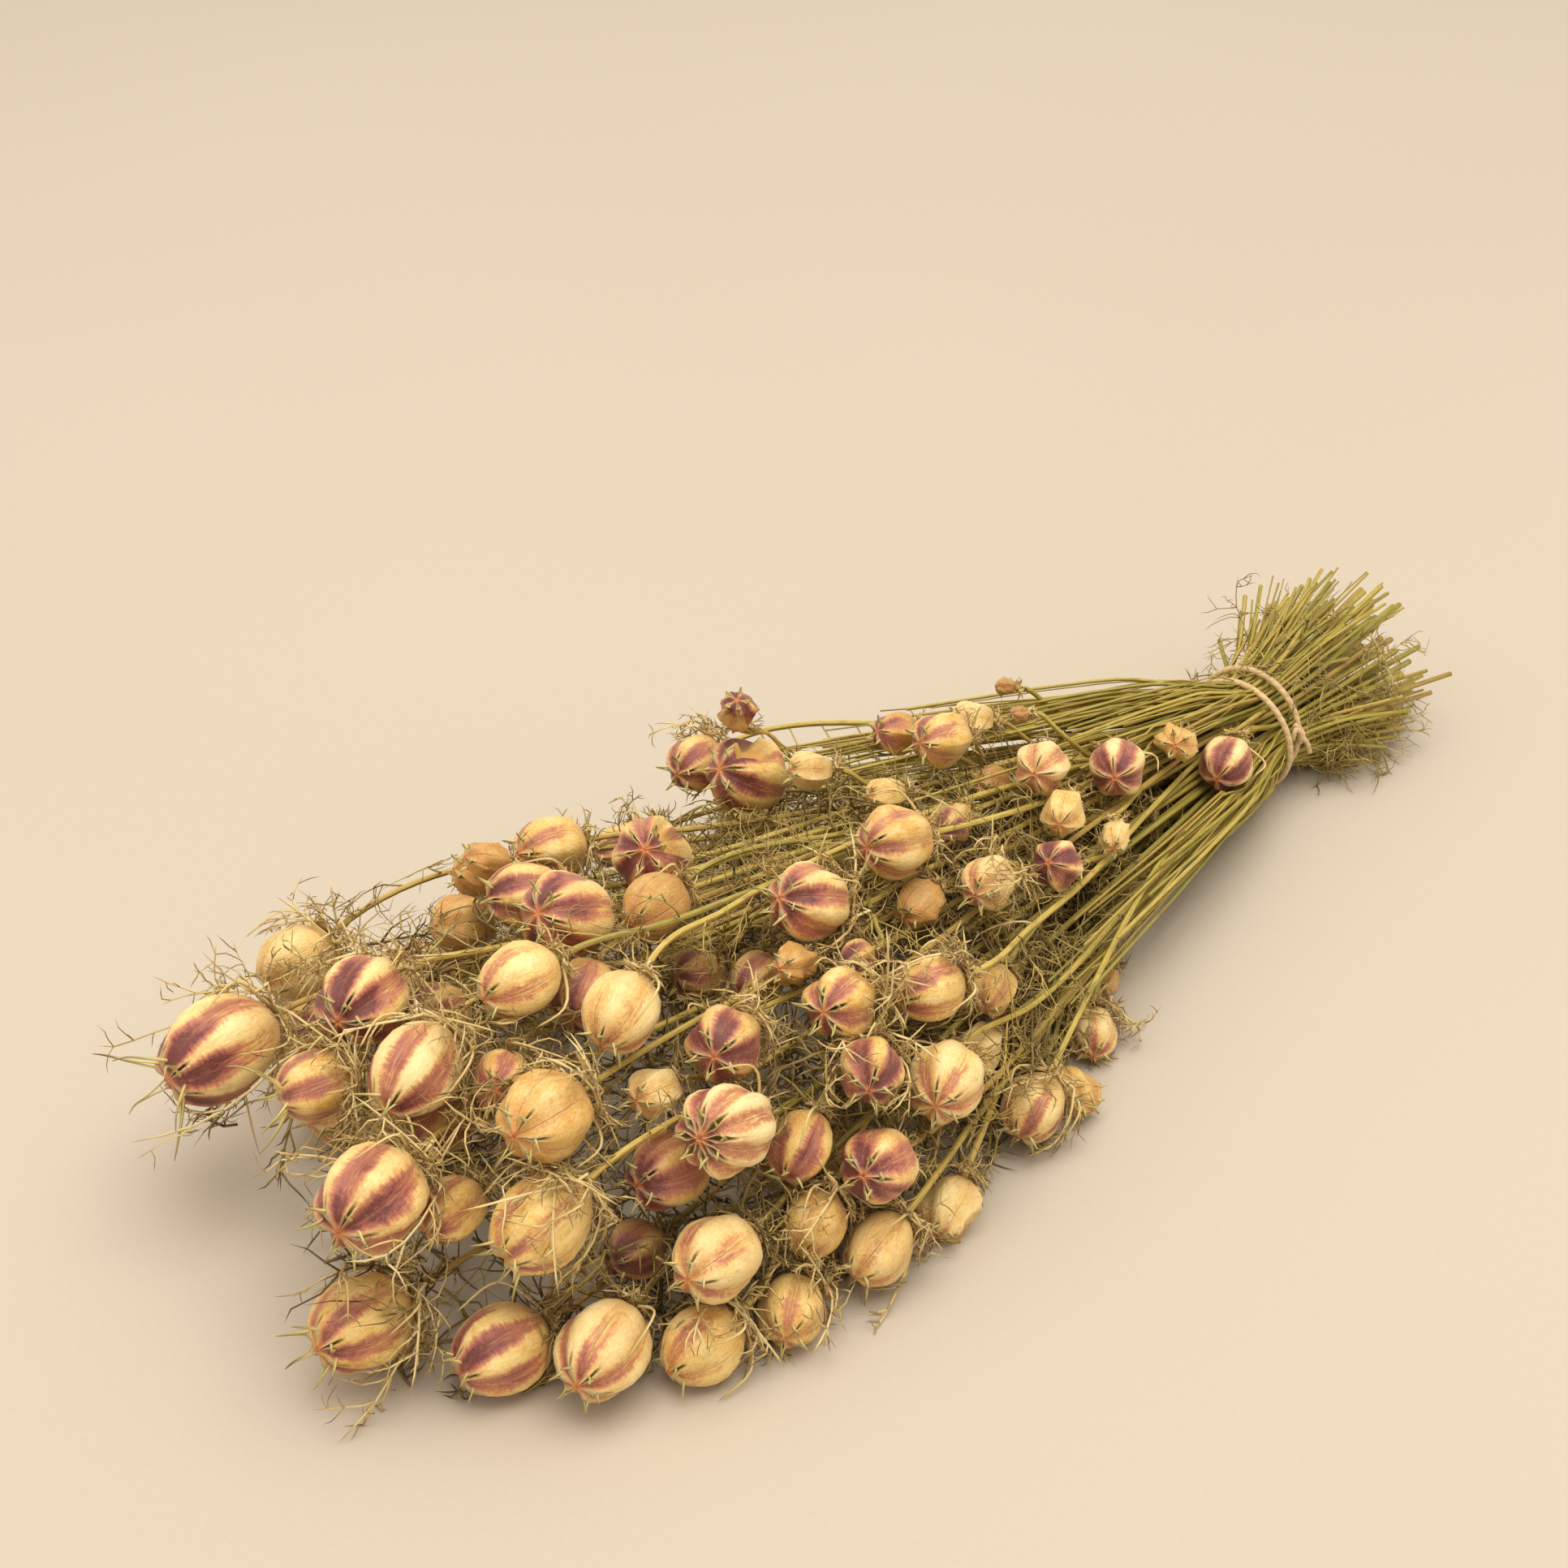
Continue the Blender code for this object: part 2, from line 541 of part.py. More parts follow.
def thin_out(way, keep, error=0.00012):
    """Drop the points of a route that a straight line passes within a small error"""
    chosen = [0, len(way) - 1] + [k % len(way) for k in keep]
    chosen = sorted(set(chosen))
    out = [chosen[0]]
    for a, b in zip(chosen[:-1], chosen[1:]):
        stack = [(a, b)]
        found = []
        while stack:
            i, j = stack.pop()
            if j - i < 2:
                continue
            line = way[j] - way[i]
            line = line / np.linalg.norm(line)
            rel = way[i + 1:j] - way[i]
            off = np.linalg.norm(rel - (rel @ line)[:, None] * line, axis=1)
            k = int(off.argmax())
            if off[k] > error:
                found.append(i + 1 + k)
                stack += [(i, i + 1 + k), (i + 1 + k, j)]
        out += sorted(found) + [b]
    return way[out]


class Space:
    """All that stands in the bunch, as round bars, to grow horns and threads clear of it"""

    def __init__(self):
        self.a, self.b, self.r, self.owner = [], [], [], []
        self.packed = None

    def add(self, a, b, r, owner):
        self.a.append(a)
        self.b.append(b)
        self.r.append(r)
        self.owner.append(owner)
        self.packed = None

    def clear_of(self, way, radii, owner, gap):
        if self.packed is None:
            self.packed = (np.array(self.a), np.array(self.b), np.array(self.r), np.array(self.owner))
        a, b, r, own = self.packed
        others = own != owner
        a, b, r = a[others], b[others], r[others]
        for p, q, rad in zip(way[:-1], way[1:], radii[:-1]):
            pp = np.broadcast_to(p, a.shape)
            qq = np.broadcast_to(q, a.shape)
            _, _, x, y = pair_params(pp, qq, a, b)
            if (np.linalg.norm(x - y, axis=1) < r + rad + gap).any():
                return False
        return min(w[2] - rad for w, rad in zip(way, radii)) > 0.0004


def side_axes(axis, roll):
    """Two directions square to an axis, turned about it"""
    helper = np.array([0.0, 0.0, 1.0]) if abs(axis[2]) < 0.9 else np.array([1.0, 0.0, 0.0])
    e1 = unit(np.cross(axis, helper))
    e2 = np.cross(axis, e1)
    c, s = math.cos(roll), math.sin(roll)
    return e1 * c + e2 * s, e2 * c - e1 * s


def tube_mesh(way, radii, sides, turn=0.0):
    """Closed tube through the points, with flat ends"""
    n = len(way)
    tangents = [unit(way[min(i + 1, n - 1)] - way[max(i - 1, 0)]) for i in range(n)]
    e1, _ = side_axes(tangents[0], turn)
    verts = []
    for place, tangent, radius in zip(way, tangents, radii):
        e1 = unit(e1 - tangent * (e1 @ tangent))
        e2 = np.cross(tangent, e1)
        for k in range(sides):
            a = 2 * math.pi * k / sides
            verts.append(place + (e1 * math.cos(a) + e2 * math.sin(a)) * radius)
    faces = [tuple(range(sides - 1, -1, -1))]
    for i in range(n - 1):
        for k in range(sides):
            m = (k + 1) % sides
            faces.append((i * sides + k, i * sides + m, (i + 1) * sides + m, (i + 1) * sides + k))
    faces.append(tuple(range((n - 1) * sides, n * sides)))
    return verts, faces


def pod_stem_mesh(item, radius, sides, rings):
    """One skin for a stem and the faceted pod at its end: crests and grooves, a horn raised from each crest"""
    way, pod, horns = item["route"], item["pod"], item["horns"]
    verts, faces = tube_mesh(list(way), [radius] * len(way), sides)
    faces = faces[:-1]
    stem_count = len(verts)
    stem_ring = list(range(len(verts) - sides, len(verts)))
    e1, e2 = side_axes(pod["axis"], pod["roll"])
    middle, axis = pod["middle"], pod["axis"]
    around = 2 * pod["lobes"]
    loops = []
    for along, wide, groove in rings:
        loop = []
        for k in range(around):
            a = 2 * math.pi * k / around
            far = pod["r"] * wide * (1.0 if k % 2 == 0 else 1.0 - groove)
            loop.append(len(verts))
            verts.append(middle + axis * pod["long"] * along + (e1 * math.cos(a) + e2 * math.sin(a)) * far)
        loops.append(loop)
    faces += sew(verts, stem_ring, loops[0], middle, e1, e2)
    for lower, upper in zip(loops[:-1], loops[1:]):
        for k in range(around):
            m = (k + 1) % around
            faces.append((lower[k], lower[m], upper[m], upper[k]))
    top = len(verts)
    verts.append(middle + axis * pod["long"] * 0.90)
    rim = loops[-1]
    for lobe in range(pod["lobes"]):
        before, crest, after = rim[2 * lobe - 1], rim[2 * lobe], rim[2 * lobe + 1]
        if horns[lobe] is None:
            faces += [(before, crest, top), (crest, after, top)]
            continue
        a = 2 * math.pi * lobe / pod["lobes"]
        radial = e1 * math.cos(a) + e2 * math.sin(a)
        across = e2 * math.cos(a) - e1 * math.sin(a)
        inner = middle + axis * pod["long"] * 0.93 + radial * pod["r"] * HORN_INNER
        left, right, tip = len(verts), len(verts) + 1, len(verts) + 2
        verts += [inner - across * HORN_RADIUS, inner + across * HORN_RADIUS, horns[lobe]]
        faces += [(before, crest, left), (before, left, top), (top, left, right), (after, right, crest),
                  (after, top, right), (left, crest, tip), (crest, right, tip), (right, left, tip)]
    lowest = min(v[2] for v in verts[stem_count:top])
    if lowest < FLOOR_REACH:
        for v in verts[stem_count:]:
            v[2] -= lowest + FLOOR_DIP
    return verts, faces


def sew(verts, small, large, middle, e1, e2):
    """Triangles between two rings of unlike counts, by their angles round the pod's axis"""
    def angle(i):
        rel = verts[i] - middle
        return math.atan2(float(rel @ e2), float(rel @ e1)) % (2 * math.pi)

    small = sorted(small, key=angle)
    large = sorted(large, key=angle)
    steps = [(angle(v), 0, n) for n, v in enumerate(small)] + [(angle(v), 1, n) for n, v in enumerate(large)]
    steps.sort()
    faces = []
    at = [len(small) - 1, len(large) - 1]
    for _, ring, n in steps:
        if ring == 0:
            faces.append((small[at[0]], small[n], large[at[1]]))
        else:
            faces.append((small[at[0]], large[n], large[at[1]]))
        at[ring] = n
    return faces


def make_object(name, verts, faces, collection):
    mesh = bpy.data.meshes.new(name)
    mesh.from_pydata([tuple(v) for v in verts], [], faces)
    bm = bmesh.new()
    bm.from_mesh(mesh)
    bmesh.ops.triangulate(bm, faces=bm.faces)
    bmesh.ops.recalc_face_normals(bm, faces=bm.faces)
    bm.to_mesh(mesh)
    bm.free()
    obj = bpy.data.objects.new(name, mesh)
    collection.objects.link(obj)
    return obj


def fuse(base, collection):
    """Join every object of the collection to the base in one Boolean union, then drop them"""
    union = base.modifiers.new("union", "BOOLEAN")
    union.operation = "UNION"
    union.operand_type = "COLLECTION"
    union.collection = collection
    union.solver = "MANIFOLD"
    bpy.context.view_layer.update()
    depsgraph = bpy.context.evaluated_depsgraph_get()
    joined = bpy.data.meshes.new_from_object(base.evaluated_get(depsgraph))
    base.modifiers.remove(union)
    base.data = joined
    for obj in list(collection.objects):
        bpy.data.objects.remove(obj)
    bpy.data.collections.remove(collection)


def trim_to_floor(obj):
    """Cut what dips below the floor to a small flat, and fill it"""
    bm = bmesh.new()
    bm.from_mesh(obj.data)
    geom = list(bm.verts) + list(bm.edges) + list(bm.faces)
    cut = bmesh.ops.bisect_plane(bm, geom=geom, plane_co=(0, 0, 0), plane_no=(0, 0, -1), clear_outer=True)
    edges = [e for e in cut["geom_cut"] if isinstance(e, bmesh.types.BMEdge)]
    if edges:
        bmesh.ops.holes_fill(bm, edges=edges, sides=0)
    bmesh.ops.triangulate(bm, faces=bm.faces)
    bm.normal_update()
    if any(len(e.link_faces) != 2 for e in bm.edges):
        raise RuntimeError("open edges in " + obj.name)
    bm.to_mesh(obj.data)
    bm.free()


def pod_horns(pod, space, owner, rng):
    """The tip of a horn for each lobe, standing out and forward round the crown, or None where it has no room"""
    e1, e2 = side_axes(pod["axis"], pod["roll"])
    tips = []
    reach = HORN_REACH_OF.get(pod["name"], HORN_REACH[pod["kind"]])
    if pod["name"] in NO_HORNS:
        return [None] * pod["lobes"]
    for k in range(pod["lobes"]):
        a = 2 * math.pi * k / pod["lobes"]
        radial = e1 * math.cos(a) + e2 * math.sin(a)
        root = pod["middle"] + pod["axis"] * pod["long"] * HORN_ROOT[0] + radial * pod["r"] * HORN_ROOT[1]
        tips.append(None)
        for attempt in range(HORN_TRIES):
            lean = rng.uniform(*HORN_LEAN)
            size = pod["r"] * rng.uniform(*reach) * (1 - 0.06 * attempt)
            stray = np.array([rng.uniform(-1, 1) for _ in range(3)])
            tip = root + unit(pod["axis"] * math.cos(lean) + radial * math.sin(lean) + stray * 0.16) * size
            if space.clear_of([root, tip], [HORN_RADIUS, HORN_RADIUS], owner, GAP):
                space.add(root, tip, HORN_RADIUS, owner)
                tips[-1] = tip
                break
    return tips


def pod_threads(pod, count, space, owner, rng):
    """Forked bract threads that rise from the neck and bend round the pod"""
    out = []
    for k in range(count):
        for attempt in range(10):
            a = 2 * math.pi * (k + 0.5) / count + rng.uniform(-0.5, 0.5)
            e1, e2 = side_axes(pod["axis"], pod["roll"] + a)
            r, h, axis, mid = pod["r"], pod["long"], pod["axis"], pod["middle"]
            root = mid - axis * (h * POD_FOOT + NECK * 0.45)
            elbow = mid - axis * h * rng.uniform(0.45, 0.60) + e1 * (r * 1.16 + 0.0012)
            end = (mid + axis * h * rng.uniform(0.15, 0.6) + e1 * (r * 1.06 + rng.uniform(0.0012, 0.0035))
                   + e2 * r * rng.uniform(-0.35, 0.35))
            way = [root, elbow, end]
            radii = [0.00055, 0.00048, 0.00034]
            if space.clear_of(way, radii, owner, GAP):
                for p, q in zip(way[:-1], way[1:]):
                    space.add(p, q, 0.0005, owner)
                out.append((way, radii))
                break
    return out


def tie_way(spread, height):
    """Run of the wound strand: it goes round twice, crosses over itself once and closes"""
    points = []
    for i in range(TIE_STEPS):
        a = 4 * math.pi * i / TIE_STEPS
        radial = spread + TIE_LIFT * (1 - math.sin(a / 2)) / 2
        turn = a + TIE_CROSSING
        points.append(np.array([TIE_X + TIE_GAP / 2 * math.cos(a / 2), TIE_Y + radial * math.cos(turn),
                                height + radial * math.sin(turn)]))
    return points


def closed_tube(points, radius, sides):
    """Ring-shaped tube through a closed run of points"""
    n = len(points)
    verts, faces = [], []
    for i in range(n):
        tangent = unit(points[(i + 1) % n] - points[i - 1])
        outward = points[i] - np.array([points[i][0], TIE_Y, TIE_Z])
        e1 = unit(outward - tangent * (outward @ tangent))
        e2 = np.cross(tangent, e1)
        for k in range(sides):
            a = 2 * math.pi * (k + 0.5) / sides
            verts.append(points[i] + (e1 * math.cos(a) + e2 * math.sin(a)) * radius)
    for i in range(n):
        m = (i + 1) % n
        for k in range(sides):
            j = (k + 1) % sides
            faces.append((i * sides + k, i * sides + j, m * sides + j, m * sides + k))
    return verts, faces


def fill_space(stems, space):
    """Enter every pod and stem in the space, and find how far the stems reach at the tie"""
    outer = 0.0
    for k, stem in enumerate(stems):
        stem["route"] = thin_out(stem["route"], [2, -2])
        for item in [stem] + stem["shoots"]:
            pod = item["pod"]
            reach = pod["axis"] * (pod["long"] - pod["r"])
            space.add(pod["middle"] - reach, pod["middle"] + reach, pod["r"], k)
            radius = STEM_RADIUS if item is stem else BRANCH_RADIUS
            for a, b in zip(item["route"][:-1], item["route"][1:]):
                space.add(a, b, radius, k)
                for part in np.linspace(0, 1, 60):
                    p = a * (1 - part) + b * part
                    if abs(p[0] - TIE_X) < TIE_GAP / 2 + TIE_RADIUS + 0.001:
                        outer = max(outer, math.hypot(p[1] - TIE_Y, p[2] - TIE_Z))
    return outer


def build_tie(spread, space, collection):
    """The wound strand, cut flat where it lies on the floor"""
    ring = tie_way(spread, TIE_Z)
    for a, b in zip(ring, ring[1:] + ring[:1]):
        space.add(a, b, TIE_RADIUS, -1)
    tie = make_object("tie_band", *closed_tube(ring, TIE_RADIUS, TIE_SIDES), collection)
    trim_to_floor(tie)
    return tie


def build_stem(name, stem, collection):
    """One stem with its pods, shoots and threads, fused into one closed body"""
    group = bpy.data.collections.new("repeats")
    collection.children.link(group)
    for item in [stem] + stem["shoots"]:
        rings = RINGS if item["pod"]["r"] > SMALL_POD else SMALL_RINGS
        if item is stem:
            base = make_object(name, *pod_stem_mesh(item, STEM_RADIUS, 4, rings), collection)
        else:
            make_object("shoot", *pod_stem_mesh(item, BRANCH_RADIUS, 3, rings), group)
        for thread, radii in item["threads"]:
            make_object("thread", *tube_mesh(thread, radii, 3, item["pod"]["roll"]), group)
    if group.objects:
        fuse(base, group)
    else:
        bpy.data.collections.remove(group)
    trim_to_floor(base)
    return base


def build():
    collection = bpy.context.scene.collection
    for obj in list(bpy.data.objects):
        bpy.data.objects.remove(obj)
    pods, eye = place_pods()
    settle_pods(pods, eye)
    stems = lay_stems(pods)
    space = Space()
    outer = fill_space(stems, space)
    build_tie(outer + STEM_RADIUS + GAP + TIE_RADIUS, space, collection)
    rng = random.Random(DETAIL_SEED)
    everything = [(k, item) for k, stem in enumerate(stems) for item in [stem] + stem["shoots"]]
    for k, item in everything:
        item["horns"] = pod_horns(item["pod"], space, k, rng)
    for k, item in everything:
        count = THREADS[item["pod"]["kind"]]
        if item is not stems[k]:
            count = min(count - 1, 1)
        item["threads"] = pod_threads(item["pod"], count, space, k, rng)
    for k, stem in enumerate(stems):
        build_stem(f"stem_{k + 1:02d}", stem, collection)
    triangles = [len(o.data.polygons) for o in collection.objects]
    corners = np.array([v.co for o in collection.objects for v in o.data.vertices])
    print("nodes", len(triangles), "triangles", sum(triangles), "most", max(triangles))
    print("box in mm", np.round(corners.min(axis=0) * 1000, 1), np.round(corners.max(axis=0) * 1000, 1))


build()
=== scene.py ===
"""A tied bunch of dried nigella stems with their seed pods, in soft studio light. Metres, +Z up."""
import math
import random

import bpy
import numpy as np
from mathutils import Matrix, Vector


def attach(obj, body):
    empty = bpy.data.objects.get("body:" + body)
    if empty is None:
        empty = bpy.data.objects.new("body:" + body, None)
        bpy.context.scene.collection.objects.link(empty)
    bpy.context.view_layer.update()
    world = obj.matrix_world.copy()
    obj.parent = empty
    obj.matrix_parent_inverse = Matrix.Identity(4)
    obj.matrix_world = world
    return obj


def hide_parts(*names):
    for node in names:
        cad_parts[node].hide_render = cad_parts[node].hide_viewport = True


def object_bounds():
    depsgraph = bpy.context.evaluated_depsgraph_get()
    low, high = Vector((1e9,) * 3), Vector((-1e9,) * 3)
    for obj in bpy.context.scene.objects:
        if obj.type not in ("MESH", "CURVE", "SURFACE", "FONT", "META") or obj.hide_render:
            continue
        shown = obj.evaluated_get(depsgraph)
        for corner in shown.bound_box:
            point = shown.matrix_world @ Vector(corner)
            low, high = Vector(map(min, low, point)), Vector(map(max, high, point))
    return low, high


# The view that the pods' places were read in
PHOTO_SIDE = 1932.0
VIEW_AZIMUTH = math.radians(-47.0)
VIEW_ELEVATION = math.radians(35.0)
VIEW_ANGLE = math.radians(32.0)
VIEW_DISTANCE = 0.92
VIEW_TARGET = np.array([0.020, 0.0575, 0.030])

# Sizes of the bunch, as in the solids
TIE_X = 0.1645
TIE_Y = -0.0300
TIE_Z = 0.0222
SLOT_RADIUS = 0.0140
STEM_RADIUS = 0.00105
BRANCH_RADIUS = 0.00085
CLEAR = 0.0005
GAP = 0.00035
NECK = 0.006
LOOSE_END = (0.056, 0.087)
LOOSE_SPREAD = 0.85
LOOSE_LIFT = 0.002
STEM_FOOT = 0.0035
MAIN_STEMS = 52
GOLDEN_TURN = 2.399963
HORN_RADIUS = 0.0006
HORN_ROOT = (0.84, 0.42)
HORN_LEAN = (0.55, 1.0)
HORN_TRIES = 8
POD_FOOT = 0.96
SIGHT_NEAR = 0.62
SIGHT_STEP = 0.0012
SIGHT_STEPS = 420
LAYER_STEP = 0.017
SHOOTS_A_STEM = 2
SHOOT_REACH = (0.018, 0.095)
SHOOT_AHEAD = 0.010
TIE_RADIUS = 0.0011
TIE_GAP = 0.0096
TIE_LIFT = 0.0030
TIE_STEPS = 44
TIE_CROSSING = math.radians(100)
POD_GAP = 0.0012
POD_ROUNDS = 400
POD_STRETCH = (1.10, 0.10)
HIDDEN_STRETCH = 1.12
LONGEST_POD = {"a1": 1.27}
FLAT_MOST = 0.93
FLOOR_SINK = 0.0004
PLACE_SEED = 31
ROUTE_SEED = 47
DETAIL_SEED = 5
ROUTE_ROUNDS = 900
THREAD_TRIES = 10
THREAD_RADII = (0.00055, 0.00048, 0.00034)
FLOOR_REACH = 0.0012
FLOOR_DIP = 0.0006

# Bract threads of a pod on a stem of its own, by its kind
THREADS = {"n": 3, "s": 1, "w": 1, "t": 1}

# Length of the horns in radii of the pod, by its kind, and for single pods
HORN_REACH = {"n": (0.42, 0.62), "s": (0.30, 0.48), "w": (0.20, 0.34), "t": (0.30, 0.45)}
HORN_REACH_OF = {"a1": (0.80, 1.05), "a4": (0.60, 0.80), "a5": (0.85, 1.10), "c2": (0.62, 0.86),
                 "c5": (0.55, 0.80), "b13": (0.24, 0.30)}
NO_HORNS = ("g1", "g2", "g4", "g5", "g7", "g8", "g9")

# Outline of the heap: x, near edge, far edge, height
HEAP = (
    (0.164, -0.0530, -0.0070, 0.046),
    (0.132, -0.0630, 0.0100, 0.056),
    (0.092, -0.0725, 0.0355, 0.068),
    (0.032, -0.0845, 0.0675, 0.082),
    (-0.028, -0.1065, 0.0855, 0.091),
    (-0.083, -0.1145, 0.0955, 0.096),
    (-0.138, -0.1095, 0.1015, 0.098),
    (-0.178, -0.0955, 0.1015, 0.096),
    (-0.208, -0.0705, 0.0955, 0.090),
    (-0.234, -0.0405, 0.0795, 0.076),
    (-0.254, -0.0085, 0.0455, 0.050),
)

# Pods by their places in the picture: name, middle, half width, horned end, lobes, kind, layer.
# Kinds: n net of bracts, s smooth, w withered, t torn. A horned end of None points away from the tie.
PODS = (
    ("a1", 270, 1294, 63, 211, 1330, 6, "n", 0),
    ("a2", 366, 1186, 46, 330, 1216, 5, "n", 1),
    ("a3", 450, 1240, 57, 421, 1265, 6, "n", 0),
    ("a4", 514, 1318, 58, 480, 1366, 6, "n", 0),
    ("a5", 390, 1336, 45, 322, 1360, 5, "n", 1),
    ("a6", 461, 1478, 66, 423, 1517, 6, "n", 0),
    ("a7", 553, 1490, 42, 522, 1516, 5, "s", 1),
    ("a8", 534, 1249, 40, None, None, 5, "s", 2),
    ("a9", 543, 1375, 45, None, None, 5, "s", 2.2),
    ("b1", 599, 1061, 30, None, None, 5, "w", 0),
    ("b2", 677, 1044, 42, 638, 1052, 5, "s", 1),
    ("b3", 647, 1103, 45, None, None, 6, "s", 1),
    ("b4", 698, 1127, 56, 660, 1125, 6, "s", 0),
    ("b5", 803, 1058, 50, 795, 1052, 6, "t", 0),
    ("b6", 806, 1112, 42, None, None, 5, "s", 1),
    ("b7", 639, 1208, 47, 596, 1232, 5, "s", 0),
    ("b8", 765, 1247, 49, 740, 1290, 6, "s", 0),
    ("b9", 719, 1226, 45, 704, 1259, 5, "s", 1),
    ("b10", 611, 1331, 39, 603, 1344, 5, "n", 1),
    ("b11", 671, 1376, 57, 636, 1400, 6, "n", 0),
    ("b12", 893, 1289, 49, 879, 1307, 5, "n", 0),
    ("b13", 893, 1389, 60, 860, 1400, 8, "s", 0),
    ("b14", 995, 1115, 50, 957, 1111, 6, "n", 0),
    ("b15", 980, 1186, 33, None, None, 5, "w", 1),
    ("b16", 1037, 1240, 46, 1014, 1252, 5, "n", 0),
    ("b17", 806, 1346, 35, None, None, 5, "s", 1),
    ("b18", 825, 1442, 50, 786, 1460, 5, "s", 1),
    ("b19", 987, 1415, 42, 966, 1460, 5, "s", 1),
    ("b20", 590, 1079, 36, None, None, 5, "w", 1),
    ("b21", 569, 1136, 38, None, None, 5, "s", 2.2),
    ("c2", 445, 1630, 60, 397, 1660, 6, "n", 0),
    ("c3", 622, 1663, 57, 571, 1694, 6, "s", 0),
    ("c4", 742, 1663, 57, 712, 1705, 6, "s", 0),
    ("c5", 667, 1507, 58, 619, 1552, 6, "n", 0),
    ("d2", 1071, 1316, 42, 1069, 1341, 5, "n", 0),
    ("d3", 1166, 1334, 50, 1152, 1365, 6, "s", 0),
    ("d4", 1083, 1436, 48, 1063, 1449, 5, "s", 0),
    ("d6", 882, 1550, 54, 847, 1577, 5, "s", 0),
    ("d7", 1008, 1508, 40, 984, 1556, 5, "n", 1),
    ("d8", 1077, 1535, 43, 1038, 1583, 5, "n", 0),
    ("d9", 1170, 1484, 42, 1149, 1529, 5, "w", 0),
    ("d10", 861, 1655, 50, 820, 1690, 5, "n", 0),
    ("d11", 975, 1613, 43, 967, 1646, 5, "n", 0),
    ("d12", 1020, 1421, 30, None, None, 5, "s", 2),
    ("d13", 780, 1540, 40, None, None, 5, "s", 2),
    ("e1", 1144, 1218, 43, 1104, 1233, 5, "n", 0),
    ("e2", 1207, 1289, 32, None, None, 5, "s", 1.5),
    ("e4", 1273, 1365, 40, 1253, 1406, 5, "n", 0),
    ("e5", 1324, 1345, 34, 1350, 1373, 5, "w", 0),
    ("e6", 1347, 1273, 31, 1347, 1301, 5, "n", 0),
    ("e7", 1363, 1207, 20, None, None, 5, "w", 0),
    ("e8", 1225, 1222, 30, None, None, 5, "s", 1),
    ("e9", 1131, 1110, 35, None, None, 5, "w", 1),
    ("f1", 911, 883, 28, 908, 868, 5, "w", 0),
    ("f2", 858, 940, 37, 833, 955, 5, "n", 1),
    ("f3", 920, 949, 50, 882, 941, 6, "t", 0),
    ("f4", 998, 949, 26, None, None, 5, "s", 1),
    ("f5", 1103, 904, 28, None, None, 5, "s", 1),
    ("f6", 1160, 910, 36, 1130, 916, 5, "s", 0),
    ("f7", 1103, 1042, 47, 1064, 1051, 6, "s", 0),
    ("f8", 1172, 1018, 33, None, None, 5, "w", 1),
    ("f9", 1218, 1087, 34, 1201, 1104, 5, "n", 0),
    ("f10", 1222, 966, 25, None, None, 5, "s", 2),
    ("f11", 1091, 979, 25, None, None, 5, "s", 2),
    ("f12", 1055, 1180, 24, None, None, 5, "s", 1),
    ("f13", 1198, 886, 25, None, None, 5, "s", 1),
    ("g1", 1283, 946, 36, 1274, 955, 5, "s", 0),
    ("g2", 1376, 945, 37, 1373, 960, 5, "s", 0),
    ("g3", 1449, 915, 31, 1448, 918, 5, "w", 0),
    ("g4", 1511, 940, 34, 1497, 963, 5, "s", 0),
    ("g5", 1310, 1000, 30, 1304, 1017, 5, "s", 0),
    ("g6", 1373, 1032, 24, None, None, 5, "w", 0),
    ("g7", 1302, 1065, 34, 1290, 1063, 5, "s", 0),
    ("g8", 1239, 846, 14, None, None, 5, "w", 0),
    ("g9", 1256, 879, 13, None, None, 5, "w", 0),
    ("h1", 860, 1200, 35, None, None, 5, "s", 3.2),
    ("h2", 930, 1205, 35, None, None, 5, "s", 2.2),
)

# Pods on the side that the picture hides: name, place, half width, lobes, kind
HIDDEN_PODS = (
    ("k1", -0.172, 0.0590, 0.0111, 0.0115, 5, "s"),
    ("k2", -0.158, 0.0915, 0.0116, 0.0120, 6, "n"),
    ("k3", -0.106, 0.0835, 0.0106, 0.0110, 5, "s"),
    ("k4", -0.126, 0.0710, 0.0270, 0.0115, 5, "n"),
    ("k5", -0.060, 0.0955, 0.0106, 0.0110, 5, "n"),
    ("k6", -0.082, 0.0810, 0.030, 0.0110, 6, "s"),
    ("k7", -0.016, 0.0830, 0.0096, 0.0100, 5, "s"),
    ("k8", -0.036, 0.0770, 0.026, 0.0105, 5, "w"),
    ("k9", 0.024, 0.0775, 0.0091, 0.0095, 5, "n"),
    ("k10", 0.062, 0.0535, 0.0076, 0.0080, 5, "s"),
    ("k11", -0.172, 0.0330, 0.0116, 0.0120, 5, "n"),
    ("k12", -0.150, 0.0610, 0.040, 0.0115, 5, "s"),
)

# Pods that lie on the floor, and pods whose middle has a height of its own
ON_FLOOR = ("c3", "c4", "d10", "d11", "d9", "e4", "e5", "e6", "e7")
HEIGHTS = {"a1": 0.052, "a4": 0.072, "c2": 0.020}

# Order of the materials on every plant piece, and the surface values that they read
SKIN, STALK, THREAD, HORN = 0, 1, 2, 3
VALUES = ("skin", "lobe", "mark", "look")

# How far the ways of stems, leaves, horns and twine are stepped
STEM_STEP = 0.003
LEAF_STEP = 0.004
THIN_STEP = 0.006
HORN_STEP = 0.0013
TWINE_STEP = 0.0016
KNOT_STEP = 0.0012

